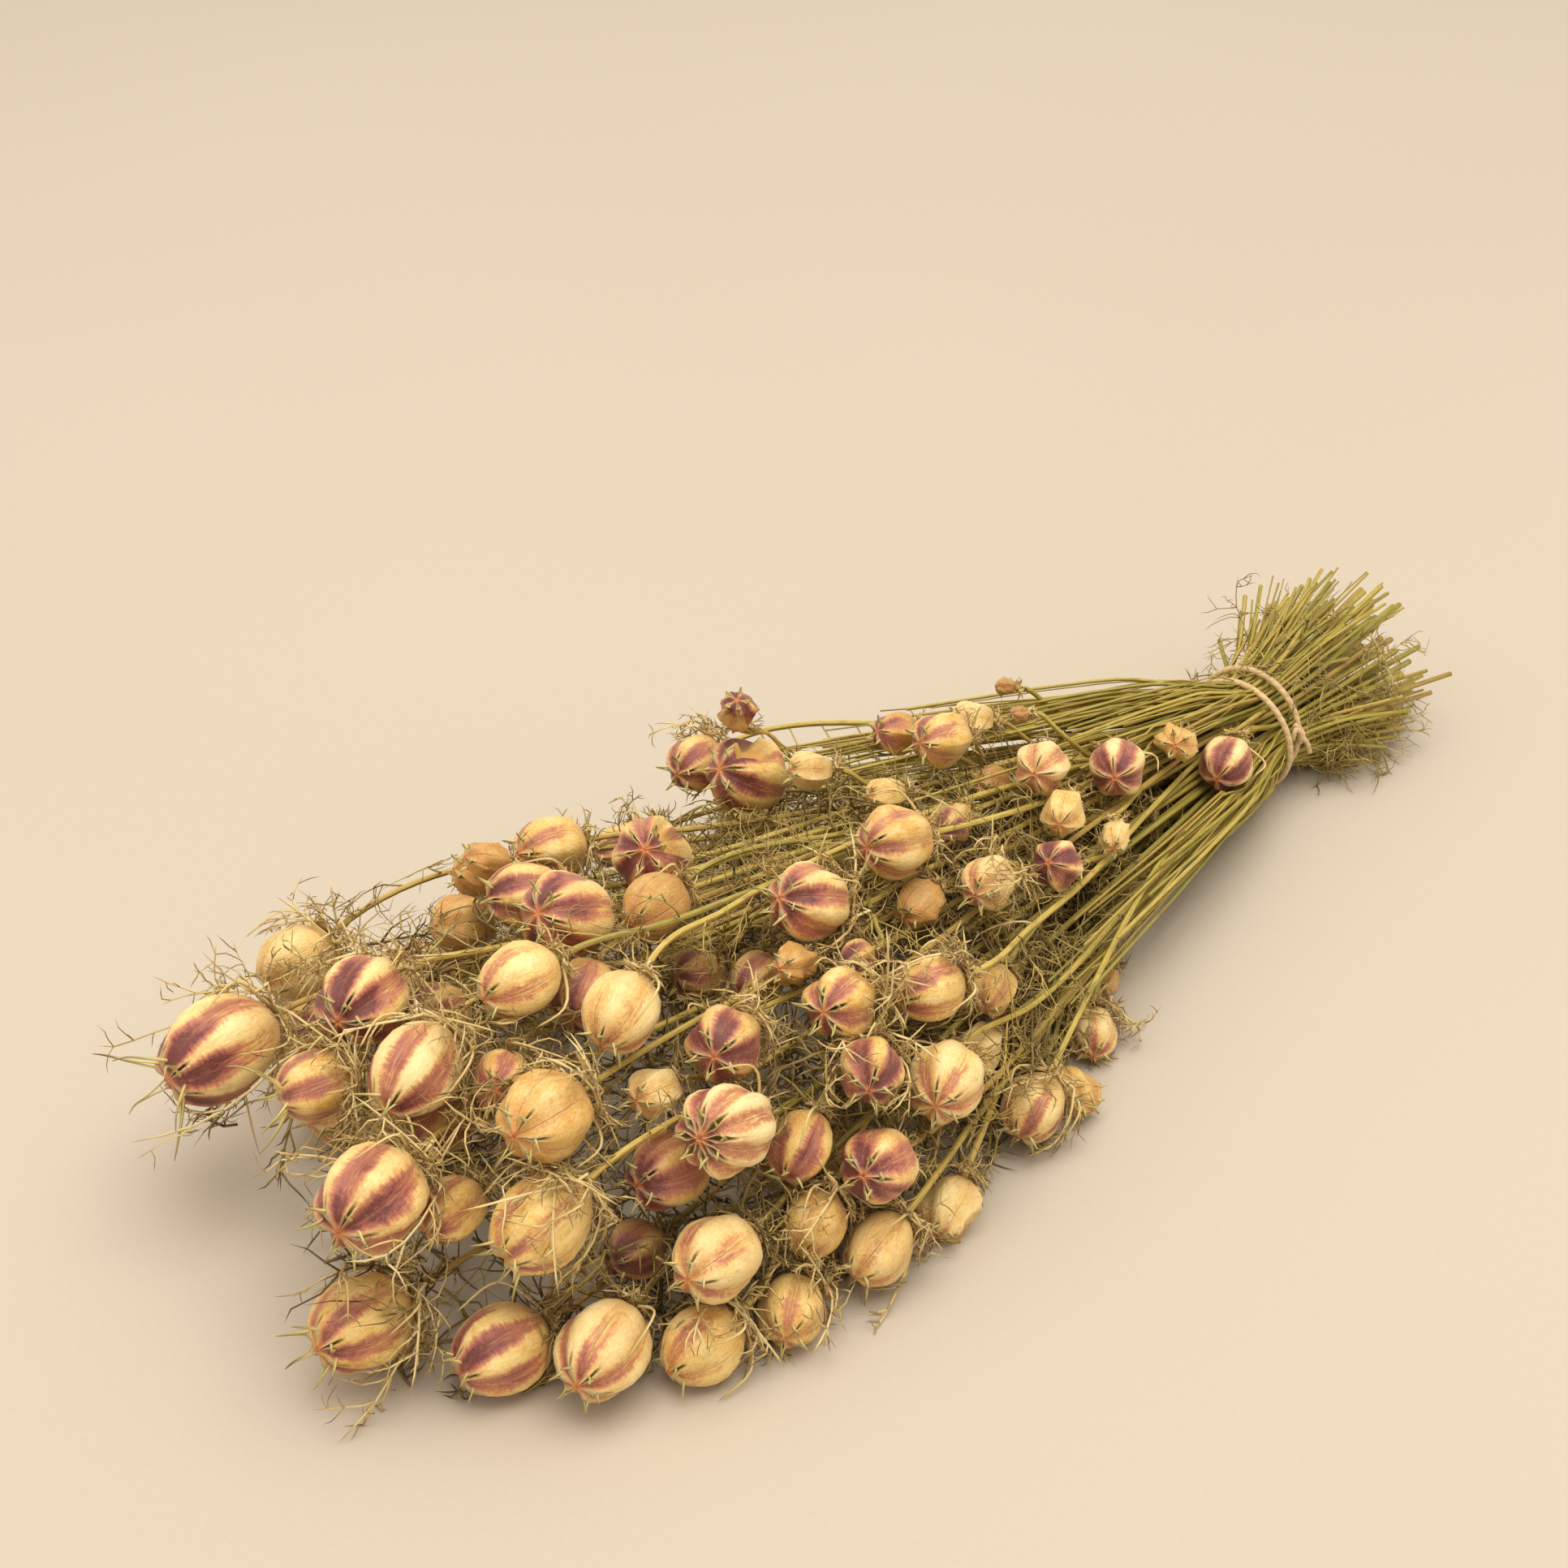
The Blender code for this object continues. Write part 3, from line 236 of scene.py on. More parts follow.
# Radii at the root and the tip of the threads: bracts, leaves and inner tangle, each from the midrib outward
BRACT_RADII = ((0.00066, 0.00034), (0.00038, 0.00019), (0.00023, 0.00012))
LEAF_RADII = ((0.00036, 0.00017), (0.00024, 0.00012), (0.00018, 0.00010))
BED_RADII = ((0.00058, 0.00029), (0.00042, 0.00021))
BRACT_THREAD = (0.0006, 0.0003)
HORN_RADII = (0.00062, 0.00048, 0.00040, 0.00028, 0.00014)
HORN_SIDES = 5
RIBS = {"stem": 5, "shoot": 4, "thin": 2}
TWINE_SIDES = 10
KNOT_SIDES = 8

# How far threads stay off the pods
RIB_MARGIN = (0.0005, 0.003)
SIDE_MARGIN = (0.0004, 0.003)

# Surface detail
LOOK_SEED = 12
STALK_GROOVE = 0.16
LIP_REST = 0.14
NOTCH = 0.5
CORNERED = (0.0078, 0.0105)
HORN_FOOT = 0.085
CREST_LINE = 0.25
CROWN_DIP = 0.865
WITHER = 0.22
DEEP = (1.2, 2.3)
DENTS = 7

# Leaves, the tangle inside the heap and the thin stalks at the tie
LEAF_START = 0.030
LEAF_EVERY = 3
LEAF_LENGTH = (0.014, 0.032)
LEAF_FORKS = 0.3
STEMS_A_TANGLE = 7
BED_LEAVES = 1010
BED_START = 0.05
BED_AT_PODS = 0.35
LOW_TANGLE = 0.5
BED_STRAY = 0.009
BED_SLACK = (-0.020, -0.008)
BED_LENGTH = (0.018, 0.034)
HEAP_SLACK = (-0.005, 0.003)
SLIM_SPAN = (-0.03, 0.08)
SLIM = 0.021
LEAF_FADE = (0.03, 0.15)
THIN_STALKS = 330
THIN_FRONT = (0.03, 0.17)
FROM_EYE = (0.599, 0.559, -0.574)
END_LEAVES = 200
END_LENGTH = (0.026, 0.052)
BOX_SLACK = 0.006

# Light
FLOOR_HALF = 4.0
SURROUND = 0.80
SURROUND_TINT = (1.0, 0.92, 0.81, 1.0)

# Lamps: name, place, size, power, colour
LAMPS = (
    ("key", (0.10, -0.25, 2.2), 2.2, 44.0, (1.0, 0.96, 0.90)),
    ("fill", (-1.0, 0.6, 1.3), 1.6, 4.0, (1.0, 0.93, 0.86)),
)

# Bracts by the kind of pod: arms, reach round it, forks an arm, share of small forks, how closely they hug it
BRACTS = {"n": (8, 2.3, 4, 0.60, 0.30), "s": (5, 0.9, 3, 0.25, 0.08), "w": (5, 1.0, 3, 0.25, 0.08),
          "t": (5, 0.9, 3, 0.25, 0.08)}

# Rings of a pod, foot to crown: place along, width, groove depth, value along the skin, how open the slit is
POD_RINGS = (
    (-0.975, 0.12, 0.02, 0.02, 0.0),
    (-0.93, 0.34, 0.03, 0.06, 0.0),
    (-0.80, 0.58, 0.045, 0.12, 0.0),
    (-0.58, 0.81, 0.06, 0.22, 0.0),
    (-0.30, 0.95, 0.075, 0.33, 0.0),
    (0.0, 1.0, 0.085, 0.45, 0.0),
    (0.28, 0.97, 0.10, 0.56, 0.0),
    (0.50, 0.87, 0.12, 0.65, 0.0),
    (0.66, 0.735, 0.13, 0.73, 0.04),
    (0.77, 0.60, 0.17, 0.79, 0.30),
    (0.84, 0.49, 0.20, 0.84, 0.75),
    (0.875, 0.39, 0.20, 0.88, 1.0),
    (0.89, 0.30, 0.18, 0.91, 0.85),
    (0.895, 0.21, 0.14, 0.94, 0.50),
    (0.89, 0.13, 0.10, 0.965, 0.15),
    (0.88, 0.06, 0.05, 0.985, 0.0),
)

# How much longer than in the solids the horns of some pods run
HORNS_LONGER = {"a1": 0.35, "a5": 0.35, "a4": 0.15}

# Looks of single pods: purple, pale (below 0: amber), dark (partly their own brown, partly painted shade on
# pods that lie deep in the heap), opening of the slits, how black they are
LOOKS = {
    "a1": (1.0, 0.35, 0.0, 0.15, 1.0), "a2": (0.25, 0.3, 0.05, 0.15, 0.0),
    "a3": (1.05, 0.25, 0.0, 0.22, 1.0), "a4": (0.75, 0.55, 0.0, 0.15, 0.0),
    "a5": (0.75, 0.0, 0.10, 0.15, 0.0), "a6": (0.95, 0.3, 0.0, 0.2, 0.0),
    "a7": (0.8, -0.1, 0.1, 0.15, 0.0), "a8": (1.15, -0.2, 0.45, 0.2, 1.0), "a9": (0.9, 0.0, 0.1, 0.2, 0.0),
    "b1": (0.15, -0.8, 0.05, 0.1, 0.0), "b2": (0.5, -0.1, 0.0, 0.1, 0.0), "b3": (0.9, 0.1, 0.1, 0.1, 0.0),
    "b4": (0.95, 0.3, 0.0, 0.2, 0.0), "b5": (0.95, 0.1, 0.0, 0.15, 0.0), "b6": (0.3, -0.8, 0.1, 0.1, 0.0),
    "b7": (0.45, 0.3, 0.0, 0.15, 0.0), "b8": (0.40, 0.4, 0.0, 0.15, 0.0),
    "b9": (0.95, -0.3, 0.15, 0.2, 0.0), "b10": (0.7, -0.2, 0.05, 0.15, 0.0),
    "b11": (0.25, -0.45, 0.0, 0.15, 0.0), "b12": (0.95, -0.1, 0.15, 0.2, 1.0),
    "b13": (0.85, 0.7, 0.0, 0.6, 0.0), "b14": (0.95, 0.3, 0.0, 0.15, 0.0),
    "b15": (0.2, -0.7, 0.1, 0.1, 0.0), "b16": (0.65, 0.0, 0.05, 0.3, 1.0),
    "b17": (0.2, 0.5, 0.05, 0.1, 0.0), "b18": (1.15, -0.2, 0.2, 0.15, 1.0),
    "b19": (1.0, 0.0, 0.05, 0.15, 0.0), "b20": (0.15, -0.7, 0.05, 0.1, 0.0),
    "b21": (0.2, -0.6, 0.1, 0.1, 0.0), "c2": (0.7, -0.15, 0.0, 0.15, 0.0),
    "c3": (0.95, 0.2, 0.0, 0.2, 0.0), "c4": (0.6, 0.45, 0.0, 0.15, 0.0), "c5": (0.55, 0.0, 0.0, 0.15, 0.0),
    "d2": (1.05, 0.0, 0.08, 0.2, 1.0), "d3": (0.45, 0.45, 0.0, 0.2, 0.0), "d4": (1.0, 0.2, 0.0, 0.25, 0.0),
    "d6": (0.5, 0.45, 0.0, 0.12, 0.0), "d7": (0.35, -0.25, 0.05, 0.12, 0.0),
    "d8": (0.35, 0.3, 0.0, 0.12, 0.0), "d9": (0.3, 0.4, 0.0, 0.1, 0.0), "d10": (0.5, 0.1, 0.0, 0.15, 0.0),
    "d11": (0.4, 0.1, 0.0, 0.15, 0.0), "d12": (0.3, -0.7, 0.15, 0.1, 0.0),
    "d13": (1.1, -0.4, 0.45, 0.1, 0.0), "e1": (0.75, 0.1, 0.0, 0.15, 0.0), "e2": (0.1, 0.5, 0.0, 0.1, 0.0),
    "e5": (0.3, -0.3, 0.05, 0.1, 0.0), "e7": (0.2, -0.6, 0.1, 0.1, 0.0), "e8": (0.4, -0.3, 0.1, 0.1, 0.0),
    "e9": (0.2, -0.8, 0.1, 0.1, 0.0), "f3": (0.9, -0.1, 0.05, 0.15, 0.0), "f4": (0.2, 0.4, 0.0, 0.1, 0.0),
    "f5": (0.9, -0.5, 0.1, 0.1, 0.0), "f8": (0.9, -0.2, 0.3, 0.1, 0.0), "f10": (0.3, -0.9, 0.25, 0.1, 0.0),
    "f11": (0.1, 0.1, 0.0, 0.1, 0.0), "f12": (1.1, -0.2, 0.25, 0.1, 0.0), "f13": (0.2, 0.4, 0.0, 0.1, 0.0),
    "g1": (0.6, 0.5, 0.0, 0.1, 0.0), "g2": (0.9, 0.5, 0.0, 0.12, 0.0), "g3": (0.1, -0.35, 0.0, 0.1, 0.0),
    "g4": (1.0, 0.6, 0.0, 0.12, 0.0), "g5": (0.25, 0.1, 0.0, 0.1, 0.0), "g6": (0.1, 0.4, 0.0, 0.2, 0.0),
    "g7": (1.1, 0.4, 0.0, 0.1, 0.0), "g8": (0.3, -0.8, 0.3, 0.1, 0.0), "g9": (0.3, -0.8, 0.3, 0.1, 0.0),
    "h1": (0.8, -0.6, 0.35, 0.1, 0.0), "h2": (0.8, -0.6, 0.35, 0.1, 0.0),
}

# How much deeper than usual the grooves of some pods are
DEEPER = {"b13": 2.1, "c4": 1.9, "c3": 1.5, "d3": 1.5, "d4": 1.4, "a4": 1.5, "a2": 0.9, "b8": 1.2, "b7": 1.3}

# Torn pods: which way the hole faces in the picture (right, up, toward the eye), how far along, how wide
TORN = {"b5": (0.80, 0.62, 0.35, 0.38, 0.62), "f3": (0.25, 0.95, 0.30, 0.30, 0.55)}


def view():
    """Eye, look, right and up of the view, and its focal length in picture units"""
    look = np.array([-math.sin(VIEW_AZIMUTH) * math.cos(VIEW_ELEVATION),
                     math.cos(VIEW_AZIMUTH) * math.cos(VIEW_ELEVATION), -math.sin(VIEW_ELEVATION)])
    right = np.array([math.cos(VIEW_AZIMUTH), math.sin(VIEW_AZIMUTH), 0.0])
    up = np.cross(right, look)
    focal = PHOTO_SIDE / 2 / math.tan(VIEW_ANGLE / 2)
    return VIEW_TARGET - VIEW_DISTANCE * look, look, right, up, focal


def unit(v):
    return v / np.linalg.norm(v)


def heap_at(x):
    """Near edge, far edge and height of the heap at x"""
    table = np.array(HEAP)[::-1]
    return [float(np.interp(x, table[:, 0], table[:, i])) for i in (1, 2, 3)]


def heap_depth(p, r):
    """Below 0 where a ball of radius r fits wholly inside the heap"""
    x0, x1 = HEAP[-1][0] + r, HEAP[0][0]
    near, far, h = heap_at(min(max(p[0], x0), x1))
    y, w = (near + far) / 2, max((far - near) / 2 - r, 0.002)
    h = max(h - 2 * r, 0.004)
    ends = max(x0 - p[0], p[0] - x1, 0.0)
    return ((p[1] - y) / w) ** 2 + (max(p[2] - r, 0) / h) ** 2 + (ends / 0.01) ** 2 - 1


def place_pods():
    """Every pod with its middle, radius, half length and axis, moved apart along the lines of sight"""
    eye, look, right, up, focal = view()
    tie = np.array([TIE_X, TIE_Y, TIE_Z])
    rng = random.Random(PLACE_SEED)
    pods = []
    for name, px, py, half, hx, hy, lobes, kind, layer in PODS:
        ray = look * focal + right * (px - PHOTO_SIDE / 2) + up * (PHOTO_SIDE / 2 - py)
        ray = ray / np.linalg.norm(ray)
        best, best_t, r = None, None, 0.012
        if name in ON_FLOOR:
            for _ in range(4):
                t = (r - FLOOR_SINK - eye[2]) / ray[2]
                r = half / focal * t
        elif name in HEIGHTS:
            t = (HEIGHTS[name] - eye[2]) / ray[2]
        else:
            for k in range(SIGHT_STEPS):
                t = SIGHT_NEAR + SIGHT_STEP * k
                p = eye + t * ray
                r = half / focal * t
                if p[2] < r:
                    break
                f = heap_depth(p, r)
                if best is None or f < best:
                    best, best_t = f, t
                if f < 0:
                    break
            t = best_t + LAYER_STEP * layer
        r = half / focal * t
        stretch = POD_STRETCH[0] + POD_STRETCH[1] * rng.random()
        if kind == "w":
            stretch = 1.0
        stretch = LONGEST_POD.get(name, stretch)
        if hx is None:
            axis = None
        else:
            dx, dy = (hx - px) / (half * stretch), (hy - py) / (half * stretch)
            flat = min(math.hypot(dx, dy), FLAT_MOST)
            k = flat / max(math.hypot(dx, dy), 1e-6)
            toward = math.sqrt(1 - flat * flat)
            axis = unit(right * dx * k - up * dy * k - ray * toward)
        pods.append({"name": name, "ray": ray, "t": t, "r": r, "long": r * stretch, "lobes": lobes,
                     "kind": kind, "axis": axis, "hidden": False})
    for name, x, y, z, r, lobes, kind in HIDDEN_PODS:
        p = np.array([x, y, z])
        ray = unit(p - eye)
        pods.append({"name": name, "ray": ray, "t": float(np.linalg.norm(p - eye)), "r": r,
                     "long": r * HIDDEN_STRETCH, "lobes": lobes, "kind": kind, "axis": None, "hidden": True})
    for pod in pods:
        pod["roll"] = rng.uniform(0, 6.28)
        pod["middle"] = eye + pod["t"] * pod["ray"]
        if pod["axis"] is None:
            away = unit(pod["middle"] - tie)
            pod["axis"] = unit(away + np.array([rng.uniform(-.3, .3) for _ in range(3)]))
    return pods, eye


def settle_pods(pods, eye):
    """Part the pods that touch: along the lines of sight, the nearer one forward and the further one back"""
    count = len(pods)
    rays = np.array([p["ray"] for p in pods])
    away = np.array([p["t"] for p in pods])
    radius = np.array([p["r"] for p in pods])
    half = np.array([p["long"] - p["r"] for p in pods])
    axis = np.array([p["axis"] for p in pods])
    hidden = [p["hidden"] for p in pods]
    start = away.copy()
    aside = np.zeros((count, 3))
    one, two = np.triu_indices(count, 1)
    for _ in range(POD_ROUNDS):
        middle = eye + rays * away[:, None] + aside
        foot, tip = middle - axis * half[:, None], middle + axis * half[:, None]
        _, _, p, q = pair_params(foot[one], tip[one], foot[two], tip[two])
        gap = p - q
        dist = np.linalg.norm(gap, axis=1)
        short = radius[one] + radius[two] + POD_GAP - dist
        if short.max() < 0.00015:
            break
        move = np.zeros(count)
        for k in np.nonzero(short > 0)[0]:
            i, j = one[k], two[k]
            push = gap[k] / max(dist[k], 1e-6)
            sign = 1 if away[i] > away[j] else -1
            move[i] += sign * short[k] * 0.35
            move[j] -= sign * short[k] * 0.35
            if hidden[i] or hidden[j] or abs(push @ rays[i]) < 0.55:
                aside[i] += push * short[k] * 0.12
                aside[j] -= push * short[k] * 0.12
        away = away + np.clip(move, -0.003, 0.003) + (start - away) * 0.004
        under = eye[2] + rays[:, 2] * away + aside[:, 2] - (radius - FLOOR_SINK)
        away = np.where(under < 0, away - under / rays[:, 2], away)
    for pod, place in zip(pods, eye + rays * away[:, None] + aside):
        pod["middle"] = place


def slot_places(n):
    """Where the n stems pass the tie, as y and z from its middle, spread evenly over a disc"""
    places = []
    for i in range(n):
        turn = i * GOLDEN_TURN
        far = SLOT_RADIUS * math.sqrt((i + 0.5) / n)
        places.append((far * math.cos(turn), far * math.sin(turn)))
    return np.array(places)


def share_slots(mains):
    """Give each stem the slot that lies on its pod's side of the bunch"""
    n = len(mains)
    wish = []
    for pod in mains:
        near, far, h = heap_at(pod["middle"][0])
        u = (pod["middle"][1] - (near + far) / 2) / ((far - near) / 2)
        v = (pod["middle"][2] - h * 0.45) / (h * 0.5)
        along = min((TIE_X - pod["middle"][0]) / 0.40, 1.0)
        size = max(math.hypot(u, v), 1e-6)
        reach = min(size, 1.0) * (1.05 - 0.45 * along) * SLOT_RADIUS
        wish.append((u / size * reach, v / size * reach))
    wish = np.array(wish)
    slots = slot_places(n)
    cost = ((wish[:, None, :] - slots[None, :, :]) ** 2).sum(axis=2)
    taken = list(range(n))
    for _ in range(12):
        changed = False
        for i in range(n):
            for j in range(i + 1, n):
                a, b = taken[i], taken[j]
                if cost[i, b] + cost[j, a] < cost[i, a] + cost[j, b] - 1e-12:
                    taken[i], taken[j] = b, a
                    changed = True
        if not changed:
            break
    return [slots[k] for k in taken]


def bezier(p0, p1, p2, p3, n):
    t = np.linspace(0, 1, n + 1)[:, None]
    return (1 - t) ** 3 * p0 + 3 * t * (1 - t) ** 2 * p1 + 3 * t * t * (1 - t) * p2 + t ** 3 * p3


def first_route(slot, base, axis):
    start = np.array([TIE_X, TIE_Y + slot[0], TIE_Z + slot[1]])
    gap = base - start
    size = np.linalg.norm(gap)
    out = unit(np.array([-1.0, 0.6 * gap[1] / abs(gap[0]), 0.6 * gap[2] / abs(gap[0])]))
    n = int(min(max(round(size / 0.036), 3), 10))
    return bezier(start, start + out * size * 0.33, base - axis * min(0.22 * size, 0.035), base, n)


def relax(routes, radii, fixed_ends, pins, blocks, block_radii, own_block, rounds=ROUTE_ROUNDS):
    """Bend the routes clear of each other and of the blocks, which stay where they are"""
    pts = np.concatenate(routes)
    counts = [len(r) for r in routes]
    starts = np.cumsum([0] + counts[:-1])
    owner_pt = np.repeat(np.arange(len(routes)), counts)
    seg_a = np.concatenate([np.arange(s, s + c - 1) for s, c in zip(starts, counts)])
    seg_b = seg_a + 1
    owner = owner_pt[seg_a]
    thick = np.array(radii)[owner]
    free = np.ones(len(pts), bool)
    for s, c, (first, last), held in zip(starts, counts, fixed_ends, pins):
        free[s:s + first] = False
        free[s + c - last:s + c] = False
        for k in held:
            free[s + k] = False
    inner = np.array([i for s, c in zip(starts, counts) for i in range(s + 1, s + c - 1)], dtype=int)
    block_mid = blocks.mean(axis=1)
    block_half = np.linalg.norm(blocks[:, 1] - blocks[:, 0], axis=1) / 2
    low = np.array(radii)[owner_pt] + 0.0003
    for step in range(rounds):
        if step % 12 == 0:
            mid = (pts[seg_a] + pts[seg_b]) / 2
            half = np.linalg.norm(pts[seg_b] - pts[seg_a], axis=1) / 2
            far = np.linalg.norm(mid[:, None, :] - mid[None, :, :], axis=2)
            near = far < half[:, None] + half[None, :] + thick[:, None] + thick[None, :] + 0.006
            ii, jj = np.nonzero(np.triu(near, 1))
            apart = owner[ii] != owner[jj]
            ii, jj = ii[apart], jj[apart]
            far = np.linalg.norm(mid[:, None, :] - block_mid[None, :, :], axis=2)
            near = far < half[:, None] + block_half[None, :] + thick[:, None] + block_radii[None, :] + 0.006
            si, bi = np.nonzero(near)
            apart = own_block[owner[si], bi] == 0
            si, bi = si[apart], bi[apart]
        move = np.zeros_like(pts)
        s, t, p, q = pair_params(pts[seg_a[ii]], pts[seg_b[ii]], pts[seg_a[jj]], pts[seg_b[jj]])
        worst = shove(move, p - q, thick[ii] + thick[jj] + CLEAR, 0.45, (seg_a[ii], seg_b[ii], s, 1.0),
                      (seg_a[jj], seg_b[jj], t, -1.0))
        s, t, p, q = pair_params(pts[seg_a[si]], pts[seg_b[si]], blocks[bi, 0], blocks[bi, 1])
        worst = max(worst, shove(move, p - q, thick[si] + block_radii[bi] + CLEAR, 0.8,
                                 (seg_a[si], seg_b[si], s, 1.0)))
        ease = 0.04 if step < rounds * 0.7 else 0.004 if step < rounds * 0.9 else 0.0
        move[inner] += ((pts[inner - 1] + pts[inner + 1]) / 2 - pts[inner]) * ease
        move[~free] = 0
        size = np.linalg.norm(move, axis=1, keepdims=True)
        pts += move * np.minimum(1, 0.004 / np.maximum(size, 1e-9))
        lift = free & (pts[:, 2] < low)
        pts[lift, 2] = low[lift]
        if worst < 0.00002 and step > rounds * 0.7:
            break
    return [pts[s:s + c] for s, c in zip(starts, counts)]


def shove(move, gap, wanted, strength, *bars):
    """Add to the moves of the bars' end points what parts the pairs that are closer than wanted"""
    dist = np.linalg.norm(gap, axis=1)
    short = wanted - dist
    hit = short > 0
    if not hit.any():
        return 0.0
    force = gap[hit] / np.maximum(dist[hit], 1e-6)[:, None] * short[hit][:, None] * strength
    for first, second, place, sign in bars:
        one, two = 1 - place[hit], place[hit]
        share = np.maximum(one * one + two * two, 0.5)
        np.add.at(move, first[hit], sign * force * (one / share)[:, None])
        np.add.at(move, second[hit], sign * force * (two / share)[:, None])
    return float(short.max())


def pair_params(a, b, c, d):
    """Closest points of pairs of bars a-b and c-d, with their places along each bar"""
    u, v, w = b - a, d - c, a - c
    uu = np.einsum("ij,ij->i", u, u)
    vv = np.einsum("ij,ij->i", v, v)
    uv = np.einsum("ij,ij->i", u, v)
    uw = np.einsum("ij,ij->i", u, w)
    vw = np.einsum("ij,ij->i", v, w)
    det = uu * vv - uv * uv
    s = np.where(det > 1e-16, (uv * vw - vv * uw) / np.maximum(det, 1e-16), 0.5)
    s = np.clip(s, 0, 1)
    t = np.clip((uv * s + vw) / np.maximum(vv, 1e-14), 0, 1)
    s = np.clip((uv * t - uw) / np.maximum(uu, 1e-14), 0, 1)
    return s, t, a + u * s[:, None], c + v * t[:, None]


def neck_route(pod, slot, rng):
    """Way of a stem: cut end, middle of the loose end, tie, then on to the foot of its pod"""
    base = pod["middle"] - pod["axis"] * pod["long"] * POD_FOOT
    neck = base - pod["axis"] * NECK
    front = first_route(slot, neck, pod["axis"])
    tie = front[0]
    length = rng.uniform(*LOOSE_END)
    away = np.array([length, slot[0] * LOOSE_SPREAD + rng.uniform(-1, 1) * 0.003,
                     slot[1] * LOOSE_SPREAD + LOOSE_LIFT + rng.uniform(-1, 1) * 0.003])
    end = tie + away
    end[2] = max(end[2], STEM_FOOT)
    half = tie + away * np.array([0.5, 0.42, 0.42])
    return np.vstack([end, half, front, base])


def lay_stems(pods):
    """Routes of the main stems and of the side shoots, each bent clear of all the others"""
    rng = random.Random(ROUTE_SEED)
    order = sorted(pods, key=lambda p: -p["r"])
    mains, sides = order[:MAIN_STEMS], order[MAIN_STEMS:]
    ends = [(p["middle"] - p["axis"] * (p["long"] - p["r"]), p["middle"] + p["axis"] * (p["long"] - p["r"]))
            for p in pods]
    blocks = np.array([[a, b] for a, b in ends])
    radii = np.array([p["r"] for p in pods])
    index = {p["name"]: k for k, p in enumerate(pods)}
    routes = [neck_route(p, slot, rng) for p, slot in zip(mains, share_slots(mains))]
    own = np.zeros((len(mains), len(pods)))
    for i, p in enumerate(mains):
        own[i, index[p["name"]]] = 1
    fixed = [(0, 2)] * len(mains)
    pins = [[2]] * len(mains)
    routes = relax(routes, [STEM_RADIUS] * len(mains), fixed, pins, blocks, radii, own)
    stems = [{"pod": p, "route": r, "shoots": []} for p, r in zip(mains, routes)]
    add_shoots(stems, sides, pods, blocks, radii, index)
    return stems


def add_shoots(stems, sides, pods, blocks, radii, index):
    """Give each smaller pod a side shoot from the nearest stem that comes past it"""
    shoots = []
    for pod in sides:
        base = pod["middle"] - pod["axis"] * pod["long"] * POD_FOOT
        neck = base - pod["axis"] * NECK * 0.7
        best = None
        for k, stem in enumerate(stems):
            if len(stem["shoots"]) >= SHOOTS_A_STEM:
                continue
            way = stem["route"]
            for i in range(2, len(way) - 2):
                for part in (0.25, 0.75):
                    root = way[i] * (1 - part) + way[i + 1] * part
                    run = neck - root
                    far = np.linalg.norm(run)
                    if not SHOOT_REACH[0] < far < SHOOT_REACH[1] or root[0] - neck[0] < SHOOT_AHEAD:
                        continue
                    along = unit(way[i + 1] - way[i])
                    turn = math.acos(max(-1, min(1, float(along @ run) / far)))
                    cost = far * (1 + 1.2 * turn)
                    if best is None or cost < best[0]:
                        best = (cost, k, i, part, root, along, far)
        if best is None:
            raise RuntimeError("no stem for " + pod["name"])
        _, k, i, part, root, along, far = best
        way = bezier(root, root + along * far * 0.3, neck - pod["axis"] * far * 0.2, neck, 3)
        shoot = {"pod": pod, "stem": k, "route": np.vstack([way, base])}
        stems[k]["shoots"].append(shoot)
        shoots.append(shoot)
    lines, line_radii, line_stem = [], [], []
    for k, stem in enumerate(stems):
        for a, b in zip(stem["route"][:-1], stem["route"][1:]):
            lines.append((a, b))
            line_radii.append(STEM_RADIUS)
            line_stem.append(k)
    walls = np.concatenate([blocks, np.array(lines)])
    wall_radii = np.concatenate([radii, line_radii])
    own = np.zeros((len(shoots), len(walls)))
    for n, shoot in enumerate(shoots):
        own[n, index[shoot["pod"]["name"]]] = 1
        for m, k in enumerate(line_stem):
            if k == shoot["stem"]:
                own[n, len(blocks) + m] = 1
    routes = relax([s["route"] for s in shoots], [BRANCH_RADIUS] * len(shoots), [(1, 2)] * len(shoots),
                   [[]] * len(shoots), walls, wall_radii, own)
    for shoot, way in zip(shoots, routes):
        shoot["route"] = way


def thin_out(way, keep, error=0.00012):
    """Drop the points of a route that a straight line passes within a small error"""
    chosen = [0, len(way) - 1] + [k % len(way) for k in keep]
    chosen = sorted(set(chosen))
    out = [chosen[0]]
    for a, b in zip(chosen[:-1], chosen[1:]):
        stack = [(a, b)]
        found = []
        while stack:
            i, j = stack.pop()
            if j - i < 2:
                continue
            line = way[j] - way[i]
            line = line / np.linalg.norm(line)
            rel = way[i + 1:j] - way[i]
            off = np.linalg.norm(rel - (rel @ line)[:, None] * line, axis=1)
            k = int(off.argmax())
            if off[k] > error:
                found.append(i + 1 + k)
                stack += [(i, i + 1 + k), (i + 1 + k, j)]
        out += sorted(found) + [b]
    return way[out]


